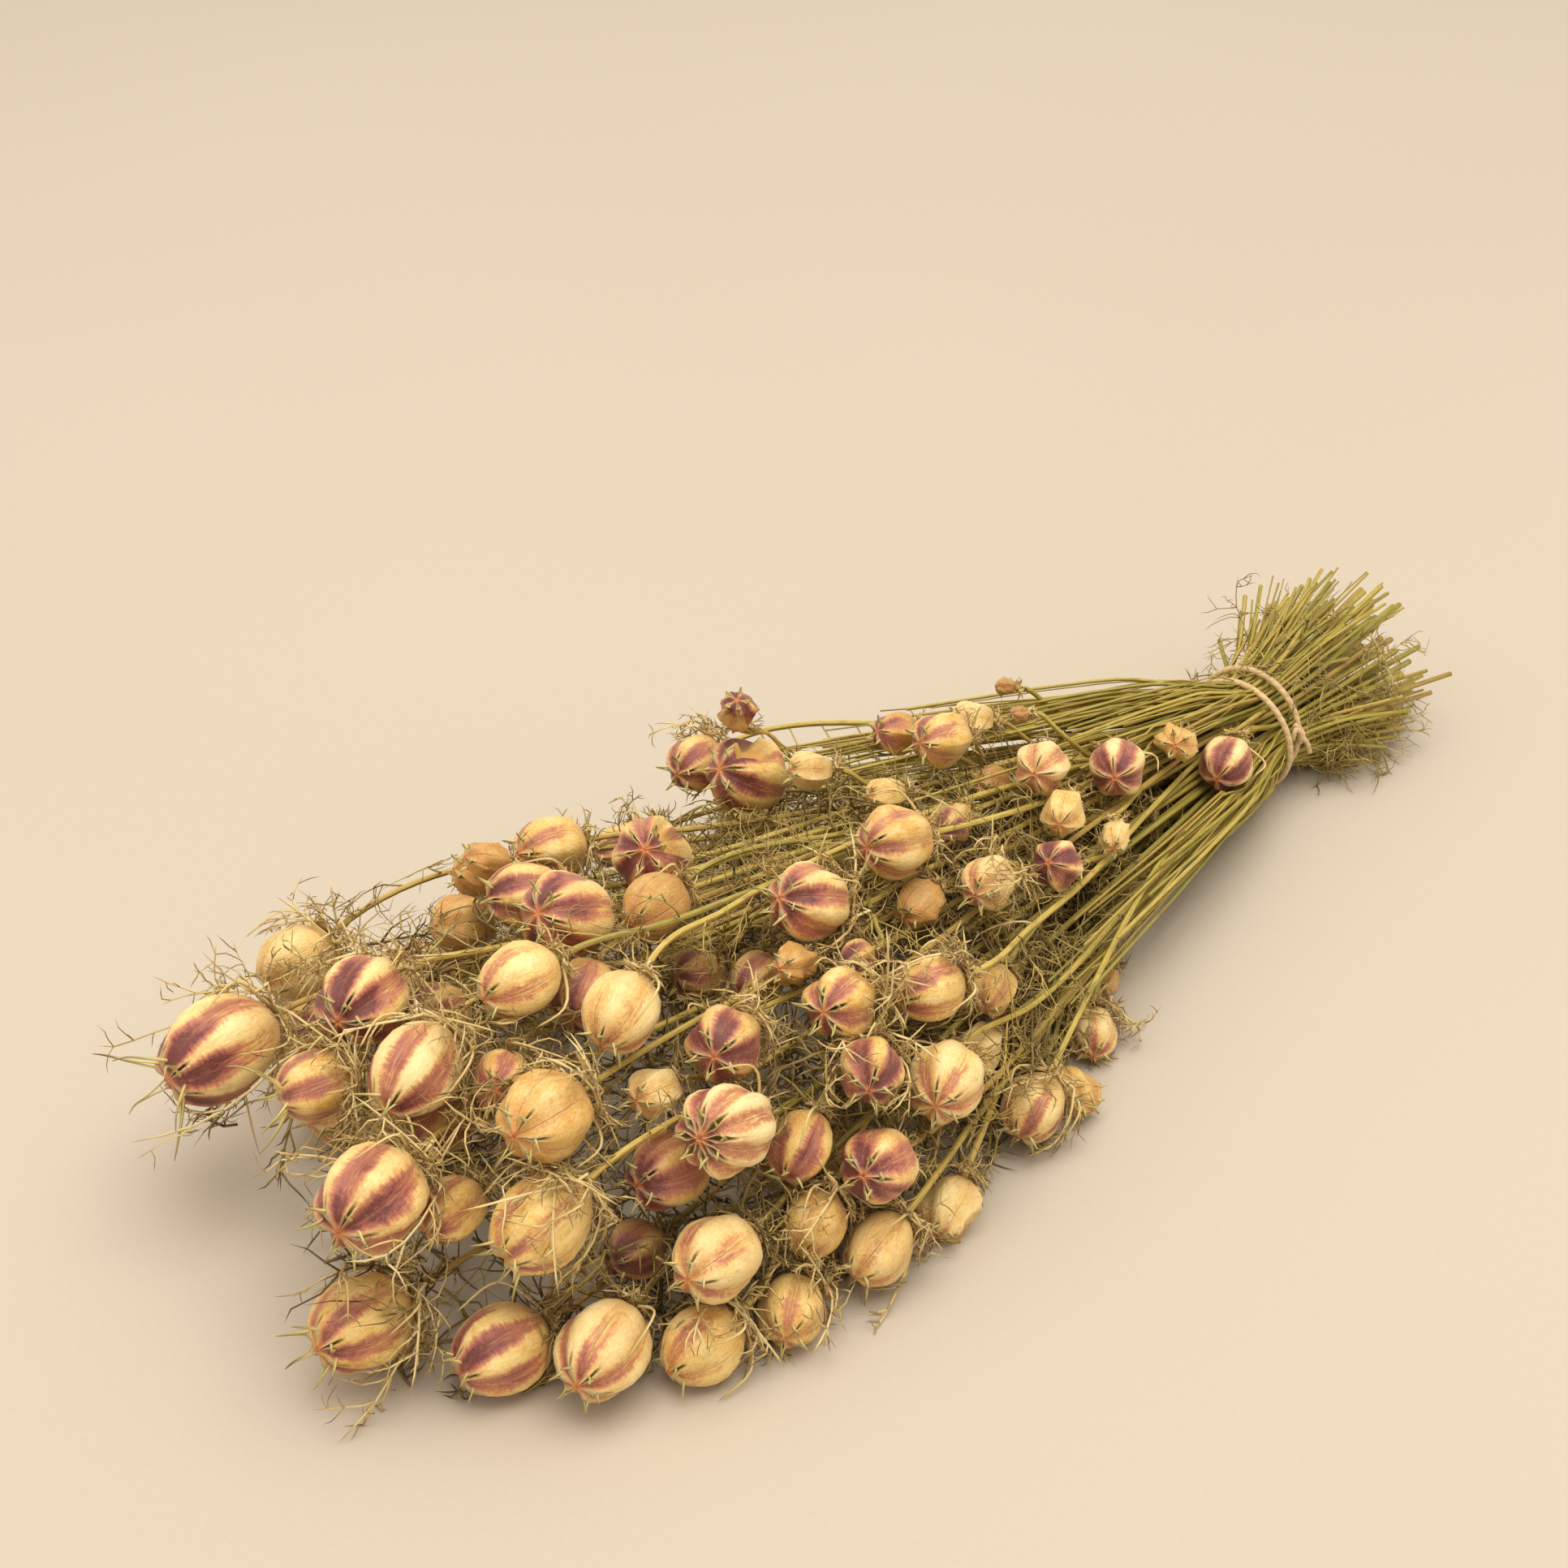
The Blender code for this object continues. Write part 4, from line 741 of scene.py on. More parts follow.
class Space:
    """All that stands in the bunch, as round bars, to grow horns and threads clear of it"""

    def __init__(self):
        self.a, self.b, self.r, self.owner = [], [], [], []
        self.packed = None

    def add(self, a, b, r, owner):
        self.a.append(a)
        self.b.append(b)
        self.r.append(r)
        self.owner.append(owner)
        self.packed = None

    def clear_of(self, way, radii, owner, gap):
        if self.packed is None:
            self.packed = (np.array(self.a), np.array(self.b), np.array(self.r), np.array(self.owner))
        a, b, r, own = self.packed
        others = own != owner
        a, b, r = a[others], b[others], r[others]
        for p, q, rad in zip(way[:-1], way[1:], radii[:-1]):
            pp = np.broadcast_to(p, a.shape)
            qq = np.broadcast_to(q, a.shape)
            _, _, x, y = pair_params(pp, qq, a, b)
            if (np.linalg.norm(x - y, axis=1) < r + rad + gap).any():
                return False
        return min(w[2] - rad for w, rad in zip(way, radii)) > 0.0004


def side_axes(axis, roll):
    """Two directions square to an axis, turned about it"""
    helper = np.array([0.0, 0.0, 1.0]) if abs(axis[2]) < 0.9 else np.array([1.0, 0.0, 0.0])
    e1 = unit(np.cross(axis, helper))
    e2 = np.cross(axis, e1)
    c, s = math.cos(roll), math.sin(roll)
    return e1 * c + e2 * s, e2 * c - e1 * s


def pod_horns(pod, space, owner, rng):
    """The tip of a horn for each lobe, out and forward round the crown, or None where it has no room"""
    e1, e2 = side_axes(pod["axis"], pod["roll"])
    tips = []
    reach = HORN_REACH_OF.get(pod["name"], HORN_REACH[pod["kind"]])
    if pod["name"] in NO_HORNS:
        return [None] * pod["lobes"]
    for k in range(pod["lobes"]):
        a = 2 * math.pi * k / pod["lobes"]
        radial = e1 * math.cos(a) + e2 * math.sin(a)
        root = pod["middle"] + pod["axis"] * pod["long"] * HORN_ROOT[0] + radial * pod["r"] * HORN_ROOT[1]
        tips.append(None)
        for attempt in range(HORN_TRIES):
            lean = rng.uniform(*HORN_LEAN)
            size = pod["r"] * rng.uniform(*reach) * (1 - 0.06 * attempt)
            stray = np.array([rng.uniform(-1, 1) for _ in range(3)])
            tip = root + unit(pod["axis"] * math.cos(lean) + radial * math.sin(lean) + stray * 0.16) * size
            if space.clear_of([root, tip], [HORN_RADIUS, HORN_RADIUS], owner, GAP):
                space.add(root, tip, HORN_RADIUS, owner)
                tips[-1] = tip
                break
    return tips


def pod_threads(pod, count, space, owner, rng):
    """Bract threads that rise from the neck and bend round the pod"""
    out = []
    for k in range(count):
        for _ in range(THREAD_TRIES):
            a = 2 * math.pi * (k + 0.5) / count + rng.uniform(-0.5, 0.5)
            e1, e2 = side_axes(pod["axis"], pod["roll"] + a)
            r, h, axis, mid = pod["r"], pod["long"], pod["axis"], pod["middle"]
            root = mid - axis * (h * POD_FOOT + NECK * 0.45)
            elbow = mid - axis * h * rng.uniform(0.45, 0.60) + e1 * (r * 1.16 + 0.0012)
            end = (mid + axis * h * rng.uniform(0.15, 0.6) + e1 * (r * 1.06 + rng.uniform(0.0012, 0.0035))
                   + e2 * r * rng.uniform(-0.35, 0.35))
            way = [root, elbow, end]
            if space.clear_of(way, THREAD_RADII, owner, GAP):
                for p, q in zip(way[:-1], way[1:]):
                    space.add(p, q, 0.0005, owner)
                out.append(way)
                break
    return out


def tie_way(spread, height):
    """Run of the wound strand: it goes round twice, crosses over itself once and closes"""
    points = []
    for i in range(TIE_STEPS):
        a = 4 * math.pi * i / TIE_STEPS
        radial = spread + TIE_LIFT * (1 - math.sin(a / 2)) / 2
        turn = a + TIE_CROSSING
        points.append(np.array([TIE_X + TIE_GAP / 2 * math.cos(a / 2), TIE_Y + radial * math.cos(turn),
                                height + radial * math.sin(turn)]))
    return points


def fill_space(stems, space):
    """Enter every pod and stem in the space, and find how far the stems reach at the tie"""
    outer = 0.0
    for k, stem in enumerate(stems):
        stem["route"] = thin_out(stem["route"], [2, -2])
        for item in [stem] + stem["shoots"]:
            pod = item["pod"]
            reach = pod["axis"] * (pod["long"] - pod["r"])
            space.add(pod["middle"] - reach, pod["middle"] + reach, pod["r"], k)
            radius = STEM_RADIUS if item is stem else BRANCH_RADIUS
            for a, b in zip(item["route"][:-1], item["route"][1:]):
                space.add(a, b, radius, k)
                for part in np.linspace(0, 1, 60):
                    p = a * (1 - part) + b * part
                    if abs(p[0] - TIE_X) < TIE_GAP / 2 + TIE_RADIUS + 0.001:
                        outer = max(outer, math.hypot(p[1] - TIE_Y, p[2] - TIE_Z))
    return outer


def smooth_way(points, step):
    """A smooth run through the points, cut to pieces of about the given length"""
    p = np.array(points)
    chord = np.linalg.norm(np.diff(p, axis=0), axis=1)
    slope = np.diff(p, axis=0) / chord[:, None]
    part = (chord[1:] / (chord[1:] + chord[:-1]))[:, None]
    turn = np.vstack([slope[:1], slope[:-1] * part + slope[1:] * (1 - part), slope[-1:]])
    out = []
    for i, size in enumerate(chord):
        n = max(1, int(round(size / step)))
        t = (np.arange(n) / n)[:, None]
        out.append((1 + 2 * t) * (1 - t) ** 2 * p[i] + t * (1 - t) ** 2 * size * turn[i]
                   + t * t * (3 - 2 * t) * p[i + 1] - t * t * (1 - t) * size * turn[i + 1])
    return np.vstack(out + [p[-1:]])


def lengths_of(v):
    return np.sqrt((v * v).sum(axis=-1, keepdims=True))


def units(v):
    return v / np.maximum(lengths_of(v), 1e-12)


class Skin:
    """Gathers the points, faces, materials and surface values of one piece"""

    def __init__(self):
        self.points, self.faces, self.slots, self.values, self.count = [], [], [], [], 0

    def add(self, points, faces, slot, **values):
        """Faces are arrays of 3 or 4 corners; each value holds three numbers a point, or three for all"""
        n = len(points)
        self.points.append(points)
        for block in faces:
            self.faces.append(block + self.count)
            self.slots.append(np.full(len(block), slot))
        rows = {}
        for key in VALUES:
            rows[key] = np.broadcast_to(np.array(values.get(key, (0.0, 0.0, 0.0)), float), (n, 3))
        self.values.append(rows)
        self.count += n

    def make(self, name, materials):
        points = np.vstack(self.points)
        mesh = bpy.data.meshes.new(name)
        sizes = np.concatenate([np.full(len(f), f.shape[1]) for f in self.faces])
        corners = np.concatenate([f.ravel() for f in self.faces])
        mesh.vertices.add(len(points))
        mesh.vertices.foreach_set("co", points.astype(np.float32).ravel())
        mesh.loops.add(len(corners))
        mesh.loops.foreach_set("vertex_index", corners.astype(np.int32))
        mesh.polygons.add(len(sizes))
        mesh.polygons.foreach_set("loop_start", np.concatenate([[0], np.cumsum(sizes)[:-1]]).astype(np.int32))
        mesh.polygons.foreach_set("material_index", np.concatenate(self.slots).astype(np.int32))
        mesh.polygons.foreach_set("use_smooth", np.ones(len(sizes), bool))
        for key in VALUES:
            rows = np.vstack([v[key] for v in self.values])
            layer = mesh.attributes.new(key, "FLOAT_VECTOR", "POINT")
            layer.data.foreach_set("vector", rows.astype(np.float32).ravel())
        mesh.update(calc_edges=True)
        mesh.validate()
        for material in materials:
            mesh.materials.append(material)
        piece = bpy.data.objects.new(name, mesh)
        bpy.context.scene.collection.objects.link(piece)
        return piece


def tube_rings(way, sides, turn=0.0):
    """For each point of a way, the directions to the sides of a tube round it"""
    n = len(way)
    tangents = units(np.array([way[min(i + 1, n - 1)] - way[max(i - 1, 0)] for i in range(n)]))
    e1, _ = side_axes(tangents[0], turn)
    rings = []
    for tangent in tangents:
        e1 = unit(e1 - tangent * (e1 @ tangent))
        e2 = np.cross(tangent, e1)
        a = 2 * math.pi * np.arange(sides) / sides
        rings.append(np.cos(a)[:, None] * e1 + np.sin(a)[:, None] * e2)
    return np.array(rings), tangents


def ring_faces(rings, sides, closed=False):
    """Four-cornered faces between the rings of a tube"""
    k = np.arange(sides)
    m = (k + 1) % sides
    last = rings if closed else rings - 1
    i = np.arange(last)[:, None]
    j = (i + 1) % rings
    return np.stack([i * sides + k, i * sides + m, j * sides + m, j * sides + k], axis=-1).reshape(-1, 4)


def end_caps(rings, sides):
    """Triangles that close a tube to the two points after its rings, the foot and the top"""
    k = np.arange(sides)
    m = (k + 1) % sides
    last, foot = (rings - 1) * sides, rings * sides
    return np.vstack([np.stack([m, k, np.full(sides, foot)], axis=1),
                      np.stack([last + k, last + m, np.full(sides, foot + 1)], axis=1)])


def add_stalk(skin, way, radii, ribs, green, seed):
    """A ribbed stalk with a flat cut end and a closed tip"""
    sides = 2 * ribs
    rings, tangents = tube_rings(way, sides, seed * 6)
    rib = np.tile([1.0, 0.0], ribs)
    depth = 1 - STALK_GROOVE * (1 - rib)
    points = way[:, None, :] + rings * (radii[:, None] * depth[None, :])[:, :, None]
    n = len(way)
    along = np.linspace(0, 1, n)
    lobe = np.stack([np.tile(rib, n), np.repeat(along, sides), np.full(n * sides, seed)], axis=1)
    look = np.stack([np.repeat(green, sides), np.zeros(n * sides), np.zeros(n * sides)], axis=1)
    far = np.concatenate([[0], np.cumsum(np.linalg.norm(np.diff(way, axis=0), axis=1))])
    turn = np.arange(sides) * 2 * math.pi / sides
    local = np.stack([np.cos(turn), np.sin(turn)], axis=1)
    coords = np.concatenate([np.tile(local, (n, 1)), np.repeat(far / 0.002, sides)[:, None]], axis=1)
    coords[:, 2] += seed * 500
    ends = [way[:1] - tangents[:1] * radii[0] * 0.15, way[-1:] + tangents[-1:] * radii[-1] * 0.5]
    points = np.vstack([points.reshape(-1, 3)] + ends)
    pad = np.array([[0.5, 0.0, seed], [0.5, 1.0, seed]])
    skin.add(points, [ring_faces(n, sides), end_caps(n, sides)], STALK, lobe=np.vstack([lobe, pad]),
             look=np.vstack([look, look[:1] + [0, 1, 0], look[-1:]]),
             skin=np.vstack([coords, coords[:1], coords[-1:]]))


def add_threads(skin, ways, radii, shade, start=0.0, stop=1.0, deep=0.0):
    """Many fine threads at once: three-sided, closed at the root, pointed at the tip. ways is (n, k, 3); deep
    is how much painted shade darkens each thread
    """
    n, k = ways.shape[:2]
    if n == 0:
        return
    tangents = units(np.concatenate([ways[:, 1:2] - ways[:, :1], ways[:, 2:] - ways[:, :-2],
                                     ways[:, -1:] - ways[:, -2:-1]], axis=1))
    index = np.arange(n)
    helper = units(np.stack([np.sin(index * 1.7), np.cos(index * 2.3), np.full(n, 0.4)], axis=1))
    e1 = units(np.cross(tangents, helper[:, None, :]))
    e2 = np.cross(tangents, e1)
    a = 2 * math.pi * np.arange(3) / 3
    ring = e1[:, :-1, None, :] * np.cos(a)[:, None] + e2[:, :-1, None, :] * np.sin(a)[:, None]
    body = ways[:, :-1, None, :] + ring * radii[:, :-1, None, None]
    each = 3 * (k - 1) + 1
    points = np.concatenate([body.reshape(n, -1, 3), ways[:, -1:]], axis=1)
    quads = ring_faces(k - 1, 3)
    top = 3 * (k - 2)
    tip = each - 1
    caps = np.array([[2, 1, 0], [top, top + 1, tip], [top + 1, top + 2, tip], [top + 2, top, tip]])
    shift = (index * each)[:, None, None]
    along = np.concatenate([np.repeat(np.linspace(start, stop, k)[:-1], 3), [stop]])
    lobe = np.stack([np.zeros((n, each)), np.broadcast_to(along, (n, each)), np.zeros((n, each))], axis=-1)
    mark = np.zeros((n, each, 3))
    mark[..., 0] = np.broadcast_to(deep, (n,))[:, None]
    shade = np.broadcast_to(np.asarray(shade, float), (n, 3))
    look = np.repeat(shade, each, axis=0)
    points = points.reshape(-1, 3)
    skin.add(points, [(quads[None] + shift).reshape(-1, 4), (caps[None] + shift).reshape(-1, 3)], THREAD,
             lobe=lobe.reshape(-1, 3), mark=mark.reshape(-1, 3), look=look, skin=points * 300)


class Room:
    """The pods as round bars, and the box, that the threads stay clear of"""

    def __init__(self, pods, low, high):
        self.a = np.array([p["middle"] - p["axis"] * (p["long"] - p["r"]) for p in pods])
        self.d = np.array([p["axis"] * 2 * (p["long"] - p["r"]) for p in pods])
        self.size = np.maximum((self.d ** 2).sum(axis=1), 1e-12)
        self.r = np.array([p["r"] for p in pods])
        self.low, self.high = low, high
        self.heap = np.array(HEAP)[::-1]

    def inside(self, points, slack):
        """The points that stand out of the heap by more than the slack, moved back"""
        near, far, high = [np.interp(points[:, 0], self.heap[:, 0], self.heap[:, k]) for k in (1, 2, 3)]
        slack = slack - np.interp(points[:, 0], SLIM_SPAN, (0.0, SLIM))
        middle, half = (near + far) / 2, (far - near) / 2 + slack
        reach = np.hypot((points[:, 1] - middle) / half, points[:, 2] / (high + slack))
        back = np.minimum(1, 1 / np.maximum(reach, 1e-6))
        out = points.copy()
        out[:, 1] = middle + (points[:, 1] - middle) * back
        out[:, 2] = points[:, 2] * back
        return out

    def clear(self, points, margin, slack=None):
        """The points, moved out of the pods, inside the box and, with a slack, inside the heap"""
        out = points.copy() if slack is None else self.inside(points, slack)
        margin = np.broadcast_to(margin, (len(points),))
        for _ in range(2):
            for first in range(0, len(out), 8000):
                q = out[first:first + 8000]
                rel = q[:, None, :] - self.a
                t = np.clip((rel * self.d).sum(axis=2) / self.size, 0, 1)
                off = rel - t[:, :, None] * self.d
                dist = np.sqrt((off ** 2).sum(axis=2))
                depth = self.r + margin[first:first + 8000, None] - dist
                k = depth.argmax(axis=1)
                row = np.arange(len(q))
                most = np.maximum(depth[row, k], 0)
                q += off[row, k] / np.maximum(dist[row, k], 1e-6)[:, None] * most[:, None]
        return np.clip(out, self.low, self.high)


def grow(room, starts, heads, lengths, steps, wander, rng, margin, sag=0.0, kink=0.0, slack=None, pull=0.0):
    """Threads that go on from their starts, turning as they go and bending round what is in the way"""
    n = len(starts)
    ways = np.empty((n, steps + 1, 3))
    ways[:, 0] = starts
    d = units(heads)
    bend = rng.normal(size=(n, 3)) * wander
    for k in range(steps):
        turn = rng.normal(size=(n, 3)) * (wander * 0.6 + kink * (rng.random((n, 1)) < 0.3))
        d = units(d + bend + turn + pull - np.array([0, 0, sag]))
        there = room.clear(ways[:, k] + d * (lengths / steps)[:, None], margin, slack)
        d = units(there - ways[:, k])
        ways[:, k + 1] = there
    return ways


def fork(ways, at, angle, flat, rng):
    """Where side threads leave the ways on both sides, where they head, and the way that each came from"""
    starts, heads, owners = [], [], []
    n, k = ways.shape[:2]
    for j in at:
        along = units(ways[:, min(j + 1, k - 1)] - ways[:, j - 1])
        across = units(np.cross(flat, along))
        for side in (1, -1):
            lean = angle * rng.uniform(0.75, 1.25, (n, 1))
            head = along * np.cos(lean) + across * side * np.sin(lean)
            heads.append(head + rng.normal(size=(n, 3)) * 0.125)
            starts.append(ways[:, j])
            owners.append(np.arange(n))
    return np.concatenate(starts), np.concatenate(heads), np.concatenate(owners)


class Nodes:
    """A material, built node by node"""

    def __init__(self, name):
        self.material = bpy.data.materials.new(name)
        self.material.use_nodes = True
        self.tree = self.material.node_tree
        self.shader = self.tree.nodes["Principled BSDF"]

    def put(self, socket, value):
        if isinstance(value, bpy.types.NodeSocket):
            self.tree.links.new(value, socket)
        elif value is not None:
            socket.default_value = value

    def new(self, kind, **settings):
        node = self.tree.nodes.new(kind)
        for key, value in settings.items():
            setattr(node, key, value)
        return node

    def attribute(self, name):
        return self.new("ShaderNodeAttribute", attribute_name=name).outputs["Vector"]

    def parts(self, vector):
        node = self.new("ShaderNodeSeparateXYZ")
        self.put(node.inputs[0], vector)
        return node.outputs

    def math(self, operation, a, b=None):
        node = self.new("ShaderNodeMath", operation=operation)
        for socket, value in zip(node.inputs, (a, b)):
            self.put(socket, value)
        return node.outputs[0]

    def times(self, a, b):
        return self.math("MULTIPLY", a, b)

    def plus(self, a, b):
        return self.math("ADD", a, b)

    def minus(self, a, b):
        return self.math("SUBTRACT", a, b)

    def span(self, value, low, high, out_low=0.0, out_high=1.0):
        """The value from low to high, eased, as out_low to out_high"""
        node = self.new("ShaderNodeMapRange", interpolation_type="SMOOTHSTEP")
        for key, number in (("Value", value), ("From Min", low), ("From Max", high), ("To Min", out_low),
                            ("To Max", out_high)):
            self.put(node.inputs[key], number)
        return node.outputs["Result"]

    def mix(self, share, a, b):
        node = self.new("ShaderNodeMix", data_type="RGBA")
        for socket, value in ((node.inputs[0], share), (node.inputs[6], a), (node.inputs[7], b)):
            self.put(socket, value if not isinstance(value, tuple) else (*value, 1.0))
        return node.outputs[2]

    def ramp(self, value, *stops):
        node = self.new("ShaderNodeValToRGB")
        self.put(node.inputs[0], value)
        elements = node.color_ramp.elements
        while len(elements) < len(stops):
            elements.new(0.5)
        for element, (place, colour) in zip(elements, stops):
            element.position = place
            element.color = (colour,) * 3 + (1,) if isinstance(colour, float) else (*colour, 1)
        return node.outputs[0]

    def scaled(self, vector, scale):
        node = self.new("ShaderNodeMapping")
        self.put(node.inputs["Vector"], vector)
        node.inputs["Scale"].default_value = scale
        return node.outputs[0]

    def noise(self, vector, scale, detail, rough):
        node = self.new("ShaderNodeTexNoise")
        for key, number in (("Vector", vector), ("Scale", scale), ("Detail", detail), ("Roughness", rough)):
            self.put(node.inputs[key], number)
        return node.outputs[0]

    def cells(self, vector, scale):
        node = self.new("ShaderNodeTexVoronoi", feature="DISTANCE_TO_EDGE")
        self.put(node.inputs["Vector"], vector)
        self.put(node.inputs["Scale"], scale)
        return node.outputs["Distance"]

    def bump(self, height, strength, distance):
        node = self.new("ShaderNodeBump")
        self.put(node.inputs["Height"], height)
        node.inputs["Strength"].default_value = strength
        node.inputs["Distance"].default_value = distance
        return node.outputs[0]

    def finish(self, colour, roughness, normal, **plain):
        self.put(self.shader.inputs["Base Color"], colour)
        self.put(self.shader.inputs["Roughness"], roughness)
        self.put(self.shader.inputs["Normal"], normal)
        for key, value in plain.items():
            self.shader.inputs[key.replace("_", " ")].default_value = value
        return self.material


def skin_material():
    """Papery pod skin: yellow crests, feathered purple panels in the grooves, an orange star on top, a
    painted highlight on the crests below the crown and painted shade that darkens whole pods
    """
    n = Nodes("pod_skin")
    coords = n.attribute("skin")
    across, along, _ = n.parts(n.attribute("lobe"))
    slit, lip, hollow = n.parts(n.attribute("mark"))
    purple, pale, dark = n.parts(n.attribute("look"))
    feather = n.noise(n.scaled(coords, (1.6, 1.6, 13.0)), 1.5, 5.0, 0.62)
    strand = n.noise(n.scaled(coords, (11.0, 11.0, 1.6)), 1.6, 3.0, 0.6)
    blotch = n.noise(coords, 1.5, 4.0, 0.6)
    fine = n.noise(n.scaled(coords, (7.0, 7.0, 3.0)), 2.4, 5.0, 0.62)
    panel = n.span(n.noise(coords, 0.9, 1.0, 0.4), 0.34, 0.62, 0.55, 1.2)
    reach = n.ramp(along, (0.0, 0.22), (0.20, 0.42), (0.42, 0.68), (0.62, 0.90), (0.85, 1.0), (1.0, 0.7))
    width = n.plus(n.times(purple, 0.46), 0.20)
    width = n.times(width, n.span(along, 0.0, 0.7, 0.55, 1.0))
    side = n.minus(1.0, across)
    ragged = n.times(n.minus(feather, 0.5), 0.55)
    ragged = n.plus(ragged, n.times(n.minus(blotch, 0.5), 0.70))
    off = n.math("DIVIDE", n.plus(side, ragged), width)
    bell = n.span(off, 1.55, 0.35)
    ink = n.times(n.times(bell, reach), n.times(panel, n.math("MINIMUM", purple, 1.2)))
    ink = n.minus(ink, n.times(n.span(side, 0.22, 0.04), 0.16))
    ink = n.plus(ink, n.times(n.times(n.minus(strand, 0.5), bell), 0.85))
    flush = n.times(n.times(n.span(along, 0.55, 0.95), purple), 0.38)
    ink = n.plus(ink, n.times(flush, n.span(blotch, 0.35, 0.6)))
    tone = n.plus(n.times(blotch, 0.55), n.times(fine, 0.45))
    yellow = n.ramp(tone, (0.32, (0.56, 0.25, 0.035)), (0.42, (0.74, 0.42, 0.08)),
                    (0.52, (0.85, 0.60, 0.185)), (0.64, (0.92, 0.73, 0.34)))
    cream = n.times(n.math("MAXIMUM", pale, 0.0), n.span(across, 1.0, 0.1, 0.25, 1.0))
    yellow = n.mix(cream, yellow, (0.92, 0.78, 0.44))
    amber = n.math("MAXIMUM", n.times(pale, -1.0), 0.0)
    amber = n.times(amber, n.span(tone, 0.7, 0.35, 0.6, 1.0))
    yellow = n.mix(amber, yellow, (0.50, 0.21, 0.04))
    blush = n.times(n.span(along, 0.45, 0.02), n.span(blotch, 0.38, 0.62))
    yellow = n.mix(n.times(blush, 0.65), yellow, (0.62, 0.27, 0.07))
    warm = n.times(n.span(along, 0.50, 0.92), n.span(across, 0.0, 0.5, 0.35, 0.8))
    yellow = n.mix(n.times(warm, n.span(tone, 0.6, 0.4, 0.45, 1.0)), yellow, (0.66, 0.30, 0.07))
    violet = n.ramp(ink, (0.0, (0.78, 0.43, 0.12)), (0.30, (0.64, 0.28, 0.115)), (0.55, (0.47, 0.17, 0.098)),
                    (0.80, (0.30, 0.078, 0.056)), (1.0, (0.155, 0.030, 0.026)))
    colour = n.mix(n.span(ink, 0.04, 0.42), yellow, violet)
    vein = n.times(n.span(across, 0.93, 1.0), n.span(along, 0.15, 0.6, 0.05, 0.5))
    colour = n.mix(vein, colour, (0.20, 0.065, 0.04))
    # Painted highlight: the crests just below the crown are made paler
    ray = n.times(n.span(across, 0.16, 0.0), n.span(along, 0.70, 0.92))
    star = n.times(n.span(along, 0.915, 1.0), n.span(strand, 0.2, 0.6, 0.55, 0.95))
    colour = n.mix(star, colour, (0.70, 0.24, 0.075))
    colour = n.mix(n.times(ray, 0.5), colour, (0.82, 0.58, 0.26))
    # Painted shade, partly the pod's own brown: the dark value darkens the whole pod, and is set high on pods
    # deep in the heap
    colour = n.mix(n.times(dark, 0.8), colour, (0.16, 0.065, 0.028))
    colour = n.mix(lip, colour, n.mix(strand, (0.52, 0.44, 0.17), (0.82, 0.74, 0.46)))
    inside = n.mix(n.math("MAXIMUM", hollow, 0.0), (0.235, 0.150, 0.022), (0.012, 0.008, 0.006))
    inside = n.mix(n.times(n.math("MINIMUM", hollow, 0.0), -1.0), inside, (0.62, 0.33, 0.07))
    colour = n.mix(slit, colour, inside)
    roughness = n.span(tone, 0.3, 0.7, 0.52, 0.34)
    web = n.cells(n.scaled(coords, (3.4, 3.4, 2.2)), 2.4)
    net = n.span(web, 0.10, 0.0)
    colour = n.mix(n.times(net, n.span(ink, 0.1, 0.5, 0.16, 0.03)), colour, (0.86, 0.64, 0.30))
    grime = n.times(n.span(n.noise(coords, 3.1, 4.0, 0.65), 0.52, 0.72), 0.34)
    colour = n.mix(grime, colour, (0.34, 0.15, 0.045))
    height = n.plus(n.times(fine, 0.7), n.times(net, 0.12))
    height = n.plus(height, n.times(strand, 0.35))
    height = n.plus(height, n.times(vein, -0.6))
    return n.finish(colour, roughness, n.bump(height, 0.5, 0.0007), Subsurface_Weight=0.2,
                    Subsurface_Radius=(1.0, 0.45, 0.12), Subsurface_Scale=0.0035, Sheen_Weight=0.08)


def stalk_material():
    """Dry ribbed stalk: straw by the pods, greener by the tie, with paler ribs and a pithy cut end"""
    n = Nodes("dry_stalk")
    coords = n.attribute("skin")
    rib, _, seed = n.parts(n.attribute("lobe"))
    green, cut, _ = n.parts(n.attribute("look"))
    streak = n.noise(n.scaled(coords, (3.0, 3.0, 0.25)), 2.0, 4.0, 0.6)
    blotch = n.noise(coords, 0.35, 3.0, 0.5)
    straw = n.ramp(streak, (0.3, (0.36, 0.22, 0.035)), (0.5, (0.57, 0.40, 0.085)), (0.7, (0.76, 0.59, 0.19)))
    leafy = n.ramp(streak, (0.3, (0.15, 0.120, 0.008)), (0.5, (0.32, 0.265, 0.022)),
                   (0.7, (0.52, 0.43, 0.055)))
    colour = n.mix(green, straw, leafy)
    ribbed = n.times(rib, n.minus(0.45, n.times(green, 0.28)))
    colour = n.mix(ribbed, colour, (0.84, 0.66, 0.18))
    colour = n.mix(n.span(seed, 0.55, 1.0, 0.0, 0.6), colour, (0.40, 0.22, 0.055))
    colour = n.mix(n.span(seed, 0.40, 0.0, 0.0, 0.55), colour, (0.20, 0.205, 0.030))
    colour = n.mix(n.span(blotch, 0.55, 0.75, 0.0, 0.6), colour, (0.30, 0.17, 0.07))
    colour = n.mix(cut, colour, (0.66, 0.55, 0.22))
    height = n.plus(rib, n.times(streak, 0.8))
    return n.finish(colour, n.span(streak, 0.3, 0.7, 0.62, 0.45), n.bump(height, 0.4, 0.0002))


